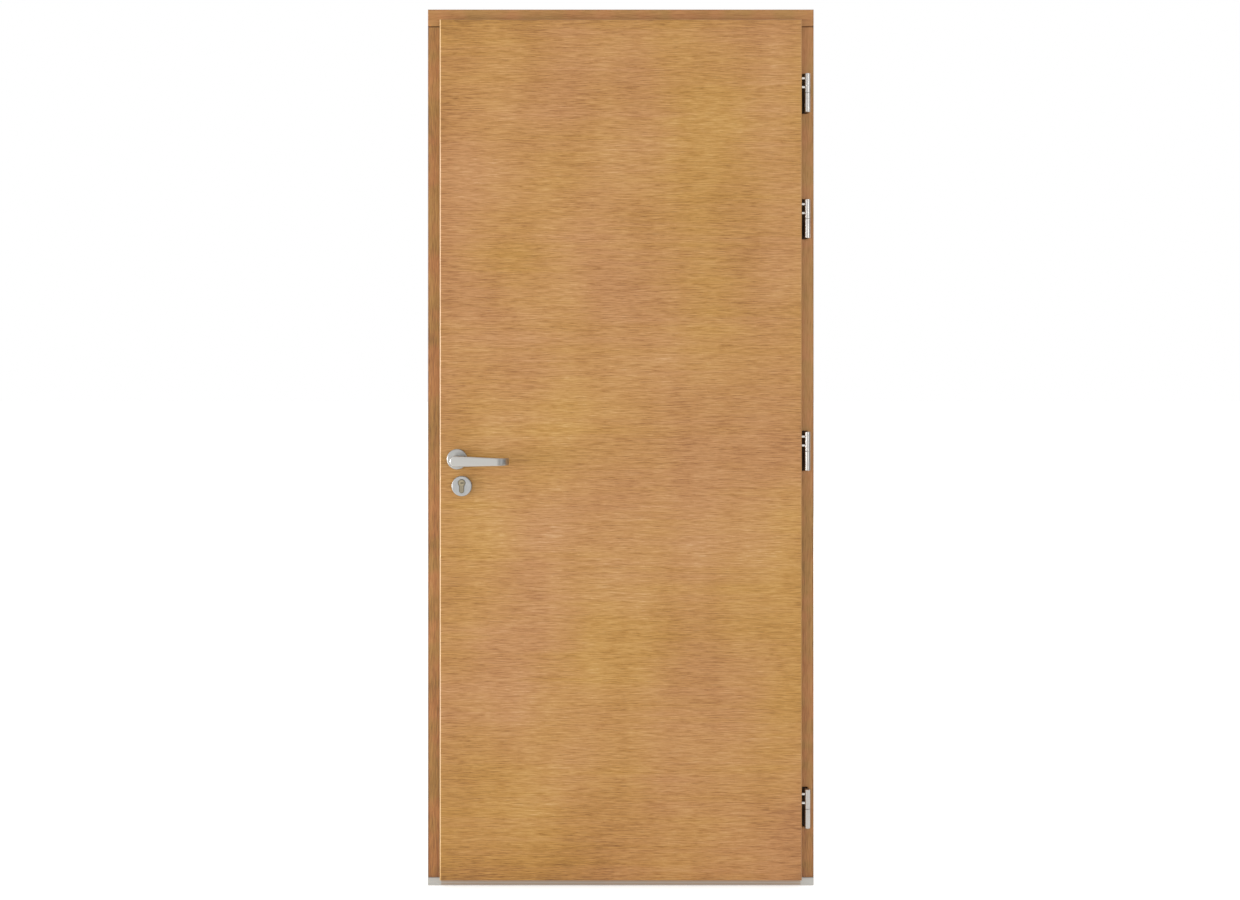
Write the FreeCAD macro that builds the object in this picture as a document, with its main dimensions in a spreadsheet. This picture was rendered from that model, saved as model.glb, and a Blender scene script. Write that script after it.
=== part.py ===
import FreeCAD, Part
import math
import os

import Sketcher
from FreeCAD import Vector

# Oak front door in its frame, seen from the room: X to the right, Y to the outside, Z up.
# The origin is on the underside of the threshold, in the middle of the frame's width and depth.
# The leaf overlaps the frame on the room side and turns into the room on four pin hinges.

SIZES = [
    # Frame
    ("frame_width", 960),
    ("frame_height", 2180),
    ("frame_depth", 68),
    ("frame_face", 43),
    ("frame_arris", 1.5),
    ("stop_width", 14),
    ("stop_depth", 20),
    # Threshold
    ("threshold_height", 20),
    ("threshold_break_width", 14),
    ("threshold_break_start", 26),
    ("threshold_break_sunk", 0.8),
    ("break_key_rise", 6),
    ("break_key_height", 6),
    ("break_key_depth", 2.5),
    ("threshold_nose", 12),
    ("threshold_nose_height", 8),
    ("tread_groove_start", 5),
    ("tread_groove_width", 2.5),
    ("tread_groove_depth", 1.2),
    ("tread_groove_pitch", 6),
    ("tread_groove_count", 4),
    ("drip_groove_width", 3),
    ("drip_groove_depth", 2),
    ("drip_lip", 3),
    # Seals in the stops and under the leaf
    ("seal_stem_width", 3),
    ("seal_stem_depth", 6),
    ("seal_bulb_width", 6),
    ("seal_from_edge", 3.5),
    ("seal_clearance", 0.5),
    ("bottom_seal_depth", 12),
    ("bottom_seal_start", 27),
    ("bottom_seal_back", 2),
    ("bottom_fin_width", 2.5),
    # Leaf
    ("side_reveal", 32),
    ("top_reveal", 29.5),
    ("lip_bottom", 20),
    ("lip_thickness", 18),
    ("lip_gap", 5),
    ("lip_arris", 3.5),
    ("body_depth", 50),
    ("hinge_gap", 5),
    ("lock_gap", 7),
    ("head_gap", 5),
    ("floor_gap", 5),
    ("outer_board", 8),
    ("outer_arris", 1.5),
    ("stile_width", 110),
    ("top_rail_height", 110),
    ("bottom_rail_height", 150),
    # Hinges
    ("hinge_1_drop", 210),
    ("hinge_2_drop", 522),
    ("hinge_3_drop", 1098),
    ("hinge_4_rise", 196),
    ("pivot_inset", 17.7),
    ("knuckle_diameter", 14),
    ("knuckle_height", 96),
    ("knuckle_seam", 0.4),
    ("pivot_pin_diameter", 7),
    ("pivot_pin_length", 36),
    ("pivot_running_gap", 0.1),
    ("hinge_pin_diameter", 5.5),
    ("hinge_pin_near", 12),
    ("hinge_pin_far", 34),
    ("hinge_pin_depth", 40),
    ("hinge_pin_gap", 0.1),
    ("hinge_lug_width", 6),
    ("hinge_lug_height", 36),
    ("hinge_lug_rise", 5),
    ("pocket_wall", 4),
    ("pocket_width", 29),
    ("pocket_height", 100),
    ("pocket_depth", 12),
    ("pocket_radius", 9),
    ("hinge_plate_thickness", 4),
    ("hinge_plate_gap", 0.25),
    # Lever and lock
    ("lever_inset", 43.8),
    ("lever_height", 1063),
    ("key_inset", 55.4),
    ("key_drop", 66.3),
    ("rose_diameter", 50.5),
    ("key_rose_diameter", 50),
    ("rose_thickness", 9),
    ("outer_rose_thickness", 7),
    ("outer_rose_width", 26),
    ("outer_rose_height", 62),
    ("neck_diameter", 19),
    ("outer_neck_diameter", 17),
    ("neck_running_gap", 0.3),
    ("lever_reach", 130),
    ("lever_projection", 55),
    ("outer_lever_projection", 52),
    ("lever_thickness", 9.5),
    ("lever_heel_radius", 12.9),
    ("lever_waist", 35),
    ("lever_waist_rise", 9.7),
    ("lever_tip_rise", 5),
    ("lever_drop", 14.5),
    ("lever_tip_drop", 12.5),
    ("lever_return", 30),
    ("lever_end_flat", 2),
    ("lever_edge", 1.5),
    ("spindle_size", 8),
    ("spindle_hole_diameter", 18),
    ("cylinder_diameter", 17),
    ("cylinder_tail_width", 10.7),
    ("cylinder_profile_height", 33),
    ("cylinder_gap", 0.3),
    ("cylinder_proud", 1.5),
    ("plug_diameter", 12.5),
    ("plug_depth", 12),
    ("keyway_width", 2.2),
    ("keyway_height", 8.5),
    ("keyway_depth", 8),
    ("keyway_offset", 1.5),
    ("faceplate_width", 20),
    ("faceplate_thickness", 3),
    ("faceplate_above", 75),
    ("faceplate_below", 93.7),
    ("bolt_rise", 12),
    ("latch_height", 24),
    ("latch_width", 11),
    ("dead_bolt_height", 34),
    ("dead_bolt_width", 13),
    ("bolt_depth", 14),
    ("bolt_setback", 0.5),
    ("latch_slope", 7),
    ("dead_bolt_edge", 1),
    ("strike_width", 24),
    ("strike_clearance", 1.5),
    ("strike_mortise_depth", 18),
]

# The middle of each hinge, between its two halves.
HINGES = {
    "hinge_1": "(Sizes.frame_height - Sizes.hinge_1_drop)",
    "hinge_2": "(Sizes.frame_height - Sizes.hinge_2_drop)",
    "hinge_3": "(Sizes.frame_height - Sizes.hinge_3_drop)",
    "hinge_4": "(Sizes.hinge_4_rise)",
}

# Planes of the door, as expressions on the sheet.
FRAME_IN = "(-Sizes.frame_depth / 2)"
FRAME_OUT = "(Sizes.frame_depth / 2)"
FRAME_EDGE = "(Sizes.frame_width / 2)"
REBATE_WALL = "(Sizes.frame_width / 2 - Sizes.frame_face)"
REBATE_TOP = "(Sizes.frame_height - Sizes.frame_face)"
STOP_FRONT = "(Sizes.frame_depth / 2 - Sizes.stop_depth)"
STOP_EDGE = f"({REBATE_WALL} - Sizes.stop_width)"
STOP_UNDER = f"({REBATE_TOP} - Sizes.stop_width)"
THRESHOLD_TOP = "(Sizes.threshold_height)"
LIP_EDGE = "(Sizes.frame_width / 2 - Sizes.side_reveal)"
LIP_TOP = "(Sizes.frame_height - Sizes.top_reveal)"
LIP_BACK = f"({FRAME_IN} - Sizes.lip_gap)"
LIP_FRONT = f"({LIP_BACK} - Sizes.lip_thickness)"
BODY_BACK = f"({LIP_BACK} + Sizes.body_depth)"
BOARD_FRONT = f"({BODY_BACK} - Sizes.outer_board)"
HINGE_EDGE = f"({REBATE_WALL} - Sizes.hinge_gap)"
LOCK_EDGE = f"(Sizes.lock_gap - {REBATE_WALL})"
BODY_TOP = f"({REBATE_TOP} - Sizes.head_gap)"
BODY_BOTTOM = "(Sizes.threshold_height + Sizes.floor_gap)"
BODY_MIDDLE = f"({LIP_BACK} + Sizes.body_depth / 2)"
PIVOT_X = "(Sizes.frame_width / 2 - Sizes.pivot_inset)"
PIVOT_Y = f"({LIP_BACK} - Sizes.lip_thickness / 2)"
POCKET_X = f"({REBATE_WALL} + Sizes.pocket_wall + Sizes.pocket_width / 2)"
POCKET_BACK = f"({FRAME_IN} + Sizes.pocket_depth)"
LEVER_X = f"(Sizes.lever_inset - {LIP_EDGE})"
KEY_X = f"(Sizes.key_inset - {LIP_EDGE})"
LEVER_Z = "(Sizes.lever_height)"
KEY_Z = "(Sizes.lever_height - Sizes.key_drop)"
LATCH_Z = f"({LEVER_Z} + Sizes.bolt_rise)"
DEAD_BOLT_Z = f"({KEY_Z} + Sizes.bolt_rise)"
FACEPLATE_TOP = f"({LEVER_Z} + Sizes.faceplate_above)"
FACEPLATE_FOOT = f"({KEY_Z} - Sizes.faceplate_below)"
CYLINDER_Z = f"({KEY_Z} + (Sizes.cylinder_profile_height - Sizes.cylinder_diameter) / 2)"
CYLINDER_FOOT = f"({KEY_Z} - Sizes.cylinder_profile_height / 2)"

doc = FreeCAD.newDocument("oak_front_door")
sheet = doc.addObject("Spreadsheet::Sheet", "Sizes")
pieces = []


def fill_sheet():
    for row, (alias, value) in enumerate(SIZES, start=1):
        sheet.set(f"A{row}", alias)
        sheet.set(f"B{row}", str(value))
        sheet.setAlias(f"B{row}", alias)
    doc.recompute()


# Solids bound to the sheet

def keep(piece, label):
    piece.Label = label
    pieces.append(piece)
    return piece


def block(name, x_span, y_span, z_span):
    """A rectangular solid between pairs of expressions along X, Y and Z."""
    box = doc.addObject("Part::Box", name)
    spans = zip(("Length", "Width", "Height"), ("x", "y", "z"), (x_span, y_span, z_span))
    for size, axis, (low, high) in spans:
        box.setExpression(size, f"({high}) - ({low})")
        box.setExpression(f"Placement.Base.{axis}", low)
    return box


def origin_plane(body, role):
    planes = [plane for plane in body.Origin.OriginFeatures if plane.Role == role]
    return planes[0]


def sketch_on(body, name, role, offset="0", across="0", up="0"):
    """A sketch on an origin plane, moved off it by offset, with its own zero at across and up."""
    sketch = body.newObject("Sketcher::SketchObject", name)
    sketch.AttachmentSupport = [(origin_plane(body, role), "")]
    sketch.MapMode = "FlatFace"
    for axis, place in (("x", across), ("y", up), ("z", offset)):
        sketch.setExpression(f"AttachmentOffset.Base.{axis}", place)
    return sketch


def bind(sketch, kind, *places_and_size):
    index = sketch.addConstraint(Sketcher.Constraint(kind, *places_and_size[:-1], 1.0))
    sketch.setExpression(f"Constraints[{index}]", places_and_size[-1])


def bind_place(sketch, element, point, across, up):
    bind(sketch, "DistanceX", -1, 1, element, point, across)
    bind(sketch, "DistanceY", -1, 1, element, point, up)


def polygon(sketch, corners):
    """A closed outline through corners, each a pair of expressions."""
    count = len(corners)
    first = sketch.GeometryCount
    turn = 2 * math.pi / count
    ring = [Vector(math.cos(turn * i), math.sin(turn * i), 0) for i in range(count)]
    for i in range(count):
        sketch.addGeometry(Part.LineSegment(ring[i], ring[(i + 1) % count]), False)
    for i in range(count):
        following = first + (i + 1) % count
        sketch.addConstraint(Sketcher.Constraint("Coincident", first + i, 2, following, 1))
    for i, (across, up) in enumerate(corners):
        bind_place(sketch, first + i, 1, across, up)


def rectangle(sketch, x_span, y_span):
    (left, right), (low, high) = x_span, y_span
    polygon(sketch, [(left, low), (right, low), (right, high), (left, high)])


def circle(sketch, across, up, radius):
    index = sketch.addGeometry(Part.Circle(Vector(0, 0, 0), Vector(0, 0, 1), 1), False)
    bind(sketch, "Radius", index, radius)
    bind_place(sketch, index, 3, across, up)


def rounded_rectangle(sketch, across, up, width, height, radius):
    """Four lines and four equal corner arcs about a centre, all bound to expressions."""
    first = sketch.GeometryCount
    wide, tall, corner = 3.0, 4.0, 1.0
    inner_wide, inner_tall = wide - corner, tall - corner
    lines = [
        ((-inner_wide, tall), (inner_wide, tall)),
        ((wide, inner_tall), (wide, -inner_tall)),
        ((inner_wide, -tall), (-inner_wide, -tall)),
        ((-wide, -inner_tall), (-wide, inner_tall)),
    ]
    for (x1, y1), (x2, y2) in lines:
        sketch.addGeometry(Part.LineSegment(Vector(x1, y1, 0), Vector(x2, y2, 0)), False)
    corners = [(inner_wide, inner_tall, 0), (inner_wide, -inner_tall, -90),
               (-inner_wide, -inner_tall, 180), (-inner_wide, inner_tall, 90)]
    for x, y, start in corners:
        ring = Part.Circle(Vector(x, y, 0), Vector(0, 0, 1), corner)
        arc = Part.ArcOfCircle(ring, math.radians(start), math.radians(start + 90))
        sketch.addGeometry(arc, False)
    for side in range(4):
        line, arc, following = first + side, first + 4 + side, first + (side + 1) % 4
        sketch.addConstraint(Sketcher.Constraint("Tangent", line, 2, arc, 2))
        sketch.addConstraint(Sketcher.Constraint("Tangent", arc, 1, following, 1))
    for side in (0, 2):
        sketch.addConstraint(Sketcher.Constraint("Horizontal", first + side))
        sketch.addConstraint(Sketcher.Constraint("Vertical", first + side + 1))
    for side in (1, 2, 3):
        sketch.addConstraint(Sketcher.Constraint("Equal", first + 4, first + 4 + side))
    bind(sketch, "Radius", first + 4, radius)
    bind(sketch, "DistanceX", -1, 1, first + 1, 1, f"{across} + {width} / 2")
    bind(sketch, "DistanceX", -1, 1, first + 3, 1, f"{across} - {width} / 2")
    bind(sketch, "DistanceY", -1, 1, first, 1, f"{up} + {height} / 2")
    bind(sketch, "DistanceY", -1, 1, first + 2, 1, f"{up} - {height} / 2")


def round_ended(sketch, across, up, width, height):
    """An upright outline whose ends are round but for a short flat."""
    rounded_rectangle(sketch, across, up, width, height, f"{width} * 0.45")


def new_body(label):
    return keep(doc.addObject("PartDesign::Body", label), label)


def feature_from(body, kind, sketch, name, reverse):
    feature = body.newObject(kind, name)
    feature.Profile = sketch
    feature.Reversed = reverse
    sketch.Visibility = False
    return feature


def pad(body, sketch, name, length, reverse=False):
    feature = feature_from(body, "PartDesign::Pad", sketch, name, reverse)
    feature.setExpression("Length", length)
    return feature


def pocket(body, sketch, name, depth, reverse=False):
    feature = feature_from(body, "PartDesign::Pocket", sketch, name, reverse)
    feature.setExpression("Length", depth)
    return feature


def dress(body, kind, name, edges, size):
    """A fillet or chamfer on named edges of the body's last feature."""
    base = body.Tip
    feature = body.newObject("PartDesign::" + kind, name)
    feature.Base = (base, edges)
    feature.setExpression("Radius" if kind == "Fillet" else "Size", size)
    return feature


def edges_at(shape, axis, side):
    """Names of the edges that lie wholly on one end of the shape along an axis."""
    limit = getattr(shape.BoundBox, axis + side)
    names = []
    for number, edge in enumerate(shape.Edges, start=1):
        ends = (getattr(edge.BoundBox, axis + "Min"), getattr(edge.BoundBox, axis + "Max"))
        if all(abs(end - limit) < 1e-4 for end in ends):
            names.append(f"Edge{number}")
    return names


def bevel(body, name, ends, size):
    """A chamfer round the body's outline at the given ends, such as ("Y", "Min")."""
    doc.recompute()
    edges = [edge for axis, side in ends for edge in edges_at(body.Shape, axis, side)]
    return dress(body, "Chamfer", name, edges, size)


def around(centre, size):
    return (f"{centre} - {size} / 2", f"{centre} + {size} / 2")


# Frame

def frame_member(label, x_span, z_span):
    """A straight member of the frame with its front and back arrises taken off."""
    body = new_body(label)
    section = sketch_on(body, label + "_section", "XY_Plane", z_span[0])
    rectangle(section, x_span, (FRAME_IN, FRAME_OUT))
    pad(body, section, label + "_length", f"({z_span[1]}) - ({z_span[0]})")
    bevel(body, label + "_arrises", [("Y", "Min"), ("Y", "Max")], "Sizes.frame_arris")
    return body


def hinge_jamb():
    body = frame_member("hinge_jamb", (REBATE_WALL, FRAME_EDGE), (THRESHOLD_TOP, REBATE_TOP))
    pockets = sketch_on(body, "hinge_pockets", "XZ_Plane", f"-{FRAME_IN}")
    for middle in HINGES.values():
        rounded_rectangle(pockets, POCKET_X, middle, "Sizes.pocket_width",
                          "Sizes.pocket_height", "Sizes.pocket_radius")
    pocket(body, pockets, "hinge_pocket_depth", "Sizes.pocket_depth")


def lock_jamb():
    wall = f"-{REBATE_WALL}"
    body = frame_member("lock_jamb", (f"-{FRAME_EDGE}", wall), (THRESHOLD_TOP, REBATE_TOP))
    seat = sketch_on(body, "strike_seat", "YZ_Plane", wall)
    plate_outline(seat, "Sizes.strike_width")
    pocket(body, seat, "strike_seat_depth", "Sizes.faceplate_thickness")
    mortises = sketch_on(body, "bolt_mortises", "YZ_Plane", wall)
    bolt_outlines(mortises, "Sizes.strike_clearance")
    pocket(body, mortises, "bolt_mortise_depth",
           "Sizes.faceplate_thickness + Sizes.strike_mortise_depth")


def head_rail():
    frame_member("head_rail", (f"-{FRAME_EDGE}", FRAME_EDGE), (REBATE_TOP, "Sizes.frame_height"))


def plate_outline(sketch, width):
    """The strike plate or faceplate seen along X, with round ends."""
    middle = f"(({FACEPLATE_TOP} + {FACEPLATE_FOOT}) / 2)"
    round_ended(sketch, BODY_MIDDLE, middle, width, f"({FACEPLATE_TOP} - {FACEPLATE_FOOT})")


def bolt_outlines(sketch, clearance):
    """The two bolts seen along X, with the same clearance on every side."""
    rectangle(sketch, around(BODY_MIDDLE, f"(Sizes.latch_width + 2 * {clearance})"),
              around(LATCH_Z, f"(Sizes.latch_height + 2 * {clearance})"))
    rectangle(sketch, around(BODY_MIDDLE, f"(Sizes.dead_bolt_width + 2 * {clearance})"),
              around(DEAD_BOLT_Z, f"(Sizes.dead_bolt_height + 2 * {clearance})"))


def across_frame(label, outline):
    """A section in the YZ plane, carried from one rebate wall to the other."""
    body = new_body(label)
    section = sketch_on(body, label + "_section", "YZ_Plane", f"-{REBATE_WALL}")
    polygon(section, [(depth, place) for place, depth in outline])
    pad(body, section, label + "_length", f"2 * {REBATE_WALL}")


def up_frame(label, outline, sign):
    """A section in the XY plane, carried from the threshold to the head stop."""
    body = new_body(label)
    section = sketch_on(body, label + "_section", "XY_Plane", THRESHOLD_TOP)
    polygon(section, [(f"{sign} * ({place})", depth) for place, depth in outline])
    pad(body, section, label + "_length", f"{STOP_UNDER} - {THRESHOLD_TOP}")


def stops_and_seals():
    """Planted stops on three sides of the rebate, each with a seal in its groove."""
    for side, sign in (("lock", "-1"), ("hinge", "1")):
        up_frame(side + "_stop", stop_outline(STOP_EDGE, REBATE_WALL), sign)
        up_frame(side + "_seal", seal_outline(STOP_EDGE), sign)
    across_frame("head_stop", stop_outline(STOP_UNDER, REBATE_TOP))
    across_frame("head_seal", seal_outline(STOP_UNDER))


def stop_outline(edge, wall):
    """A stop in section: (place across the opening, depth), with the seal's groove."""
    near, far = groove_span(edge)
    back = f"({STOP_FRONT} + Sizes.seal_stem_depth)"
    return [(edge, STOP_FRONT), (near, STOP_FRONT), (near, back), (far, back),
            (far, STOP_FRONT), (wall, STOP_FRONT), (wall, FRAME_OUT),
            (f"{edge} + Sizes.frame_arris", FRAME_OUT),
            (edge, f"{FRAME_OUT} - Sizes.frame_arris")]


def groove_span(edge):
    return around(f"({edge} + Sizes.seal_from_edge)", "Sizes.seal_stem_width")


def seal_outline(edge):
    """A seal in section: its stem fills the groove and its bulb nearly meets the leaf."""
    near, far = groove_span(edge)
    bulb_near, bulb_far = around(f"({edge} + Sizes.seal_from_edge)", "Sizes.seal_bulb_width")
    back = f"({STOP_FRONT} + Sizes.seal_stem_depth)"
    tip = f"({BODY_BACK} + Sizes.seal_clearance)"
    shoulder = f"(({STOP_FRONT} + {tip}) / 2)"
    return [(bulb_near, STOP_FRONT), (near, STOP_FRONT), (near, back), (far, back),
            (far, STOP_FRONT), (bulb_far, STOP_FRONT), (bulb_far, shoulder), (far, tip),
            (near, tip), (bulb_near, shoulder)]


def threshold():
    """Two metal sections keyed to an insulating strip between them, right across the frame."""
    start = f"({FRAME_IN} + Sizes.threshold_break_start)"
    end = f"({start} + Sizes.threshold_break_width)"
    key_start, key_end = f"{start} - Sizes.break_key_depth", f"{end} + Sizes.break_key_depth"
    key_foot = "Sizes.break_key_rise"
    key_top = "Sizes.break_key_rise + Sizes.break_key_height"
    break_top = f"{THRESHOLD_TOP} - Sizes.threshold_break_sunk"
    front_arris = [(f"{FRAME_IN} + Sizes.frame_arris", THRESHOLD_TOP),
                   (FRAME_IN, f"{THRESHOLD_TOP} - Sizes.frame_arris")]
    nose = f"({FRAME_OUT} + Sizes.threshold_nose)"
    drip_end = f"({nose} - Sizes.drip_lip)"
    drip_start = f"({drip_end} - Sizes.drip_groove_width)"
    drip_top = "Sizes.drip_groove_depth"
    near_key = [(start, key_foot), (key_start, key_foot), (key_start, key_top), (start, key_top)]
    far_key = [(end, key_foot), (key_end, key_foot), (key_end, key_top), (end, key_top)]
    sections = {
        "threshold_inner": [(FRAME_IN, "0"), (start, "0"), *near_key, (start, THRESHOLD_TOP),
                            *front_arris],
        "threshold_break": [(start, "0"), (end, "0"), *far_key, (end, break_top),
                            (start, break_top), *reversed(near_key)],
        "threshold_outer": [(end, "0"), (drip_start, "0"), (drip_start, drip_top),
                            (drip_end, drip_top), (drip_end, "0"), (nose, "0"),
                            (nose, "Sizes.threshold_nose_height"), (FRAME_OUT, THRESHOLD_TOP),
                            (end, THRESHOLD_TOP), *reversed(far_key)],
    }
    for label, corners in sections.items():
        body = new_body(label)
        section = sketch_on(body, label + "_section", "YZ_Plane", f"-{FRAME_EDGE}")
        polygon(section, corners)
        pad(body, section, label + "_length", "Sizes.frame_width")
        if label == "threshold_outer":
            tread_grooves(body, end)


def tread_grooves(body, start):
    """Grooves along the outer section's tread, as a row from the insulating strip outwards."""
    first = f"({start} + Sizes.tread_groove_start)"
    sketch = sketch_on(body, "tread_groove", "YZ_Plane", f"-{FRAME_EDGE}")
    rectangle(sketch, (first, f"{first} + Sizes.tread_groove_width"),
              (f"{THRESHOLD_TOP} - Sizes.tread_groove_depth", THRESHOLD_TOP))
    groove = pocket(body, sketch, "tread_groove_length", "Sizes.frame_width", reverse=True)
    row = body.newObject("PartDesign::LinearPattern", "tread_grooves")
    row.Originals = [groove]
    row.Direction = (sketch, ["H_Axis"])
    row.setExpression("Occurrences", "Sizes.tread_groove_count")
    row.setExpression("Length", "(Sizes.tread_groove_count - 1) * Sizes.tread_groove_pitch")
    body.Tip = row


def strike_plate():
    body = new_body("strike_plate")
    outline = sketch_on(body, "strike_outline", "YZ_Plane", f"-{REBATE_WALL}")
    plate_outline(outline, "Sizes.strike_width")
    bolt_outlines(outline, "Sizes.strike_clearance")
    pad(body, outline, "strike_thickness", "Sizes.faceplate_thickness", reverse=True)


# Leaf

def board(label, x_span, y_span, z_span):
    """A flat board with its outline in the XZ plane, thick along Y."""
    body = new_body(label)
    outline = sketch_on(body, label + "_outline", "XZ_Plane", f"-({y_span[0]})")
    rectangle(outline, x_span, z_span)
    pad(body, outline, label + "_thickness", f"({y_span[1]}) - ({y_span[0]})", reverse=True)
    return body


def hole(body, name, front, depth, draw):
    """A pocket from a face that looks into the room, towards the outside."""
    sketch = sketch_on(body, name, "XZ_Plane", f"-({front})")
    draw(sketch)
    pocket(body, sketch, name + "_cut", depth)


def spindle_hole(body, label, front, depth):
    hole(body, label + "_spindle_hole", front, depth,
         lambda sketch: circle(sketch, LEVER_X, LEVER_Z, "Sizes.spindle_hole_diameter / 2"))


def cylinder_holes(body, label, front, depth):
    """The keyhole-shaped way for the lock cylinder, cut as its round part and its tail."""
    gap = "Sizes.cylinder_gap"
    hole(body, label + "_barrel_hole", front, depth,
         lambda sketch: circle(sketch, KEY_X, CYLINDER_Z, f"Sizes.cylinder_diameter / 2 + {gap}"))
    hole(body, label + "_tail_hole", front, depth, lambda sketch: tail_outline(sketch, gap))


def tail_outline(sketch, clearance):
    """The tail runs from the middle of the barrel down to the foot of the profile."""
    height = f"({CYLINDER_Z} - {CYLINDER_FOOT} + {clearance})"
    middle = f"(({CYLINDER_Z} + {CYLINDER_FOOT} - {clearance}) / 2)"
    round_ended(sketch, KEY_X, middle, f"(Sizes.cylinder_tail_width + 2 * {clearance})", height)


def inner_face_board():
    """The oak face seen from the room. It laps over the frame and carries the hinge pins."""
    label = "inner_face_board"
    body = board(label, (f"-{LIP_EDGE}", LIP_EDGE), (LIP_FRONT, LIP_BACK),
                 ("Sizes.lip_bottom", LIP_TOP))
    doc.recompute()
    dress(body, "Fillet", label + "_arris", edges_at(body.Shape, "Y", "Min"), "Sizes.lip_arris")
    spindle_hole(body, label, LIP_FRONT, "Sizes.lip_thickness")
    cylinder_holes(body, label, LIP_FRONT, "Sizes.lip_thickness")
    pins = sketch_on(body, label + "_pin_holes", "YZ_Plane", LIP_EDGE)
    for middle in HINGES.values():
        for height in leaf_pin_heights(middle):
            circle(pins, PIVOT_Y, height, "Sizes.hinge_pin_diameter / 2 + Sizes.hinge_pin_gap")
    pocket(body, pins, label + "_pin_cut", "Sizes.hinge_pin_depth + Sizes.hinge_pin_gap")


def leaf_pin_heights(middle):
    top = f"({middle} + Sizes.knuckle_height / 2)"
    return (f"({top} - Sizes.hinge_pin_near)", f"({top} - Sizes.hinge_pin_far)")


def leaf_body():
    """Oak stiles and rails round an insulating core, with an oak board outside."""
    depth = (LIP_BACK, BOARD_FRONT)
    stile_depth = f"({BOARD_FRONT}) - ({LIP_BACK})"
    height = (BODY_BOTTOM, BODY_TOP)
    inner_lock = f"({LOCK_EDGE} + Sizes.stile_width)"
    inner_hinge = f"({HINGE_EDGE} - Sizes.stile_width)"
    rail_under = f"({BODY_TOP} - Sizes.top_rail_height)"
    rail_over = f"({BODY_BOTTOM} + Sizes.bottom_rail_height)"
    board("hinge_stile", (inner_hinge, HINGE_EDGE), depth, height)
    stile = board("lock_stile", (LOCK_EDGE, inner_lock), depth, height)
    spindle_hole(stile, "lock_stile", LIP_BACK, stile_depth)
    cylinder_holes(stile, "lock_stile", LIP_BACK, stile_depth)
    seat = sketch_on(stile, "faceplate_seat", "YZ_Plane", LOCK_EDGE)
    plate_outline(seat, "Sizes.faceplate_width")
    pocket(stile, seat, "faceplate_seat_depth", "Sizes.faceplate_thickness", reverse=True)
    mortises = sketch_on(stile, "bolt_seats", "YZ_Plane", LOCK_EDGE)
    bolt_outlines(mortises, "0")
    pocket(stile, mortises, "bolt_seat_depth", "Sizes.bolt_depth", reverse=True)
    board("top_rail", (inner_lock, inner_hinge), depth, (rail_under, BODY_TOP))
    board("bottom_rail", (inner_lock, inner_hinge), depth, (BODY_BOTTOM, rail_over))
    board("leaf_core", (inner_lock, inner_hinge), depth, (rail_over, rail_under))
    outer = board("outer_face_board", (LOCK_EDGE, HINGE_EDGE), (BOARD_FRONT, BODY_BACK), height)
    bevel(outer, "outer_face_board_arris", [("Y", "Max")], "Sizes.outer_arris")
    spindle_hole(outer, "outer_face_board", BOARD_FRONT, "Sizes.outer_board")
    cylinder_holes(outer, "outer_face_board", BOARD_FRONT, "Sizes.outer_board")


def bottom_seal():
    """A rubber strip under the leaf with two fins that nearly wipe the threshold."""
    near = f"({LIP_BACK} + Sizes.bottom_seal_start)"
    far = f"({near} + Sizes.bottom_seal_depth)"
    near_fin = f"({near} + Sizes.bottom_fin_width)"
    far_fin = f"({far} - Sizes.bottom_fin_width)"
    tip = f"({THRESHOLD_TOP} + Sizes.seal_clearance)"
    back = f"({BODY_BOTTOM} - Sizes.bottom_seal_back)"
    body = new_body("bottom_seal")
    section = sketch_on(body, "bottom_seal_section", "YZ_Plane", LOCK_EDGE)
    polygon(section, [(near, BODY_BOTTOM), (near, tip), (near_fin, tip), (near_fin, back),
                      (far_fin, back), (far_fin, tip), (far, tip), (far, BODY_BOTTOM)])
    pad(body, section, "bottom_seal_length", f"{HINGE_EDGE} - {LOCK_EDGE}")


def lock_edge_pieces():
    """The faceplate in the leaf's lock edge, and its two bolts drawn back behind it."""
    plate = new_body("lock_faceplate")
    outline = sketch_on(plate, "faceplate_outline", "YZ_Plane", LOCK_EDGE)
    plate_outline(outline, "Sizes.faceplate_width")
    bolt_outlines(outline, "0")
    pad(plate, outline, "faceplate_thickness", "Sizes.faceplate_thickness")

    front = f"({LOCK_EDGE} + Sizes.bolt_setback)"
    back = f"({LOCK_EDGE} + Sizes.bolt_depth)"
    near, far = around(BODY_MIDDLE, "Sizes.latch_width")
    low, high = around(LATCH_Z, "Sizes.latch_height")
    latch = new_body("latch_bolt")
    section = sketch_on(latch, "latch_section", "XY_Plane", low)
    polygon(section, [(front, near), (back, near), (back, far),
                      (f"{front} + Sizes.latch_slope", far)])
    pad(latch, section, "latch_length", f"({high}) - ({low})")

    near, far = around(BODY_MIDDLE, "Sizes.dead_bolt_width")
    dead = board("dead_bolt", (front, back), (near, far),
                 around(DEAD_BOLT_Z, "Sizes.dead_bolt_height"))
    bevel(dead, "dead_bolt_edges", [("X", "Min")], "Sizes.dead_bolt_edge")


# Hinges

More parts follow.
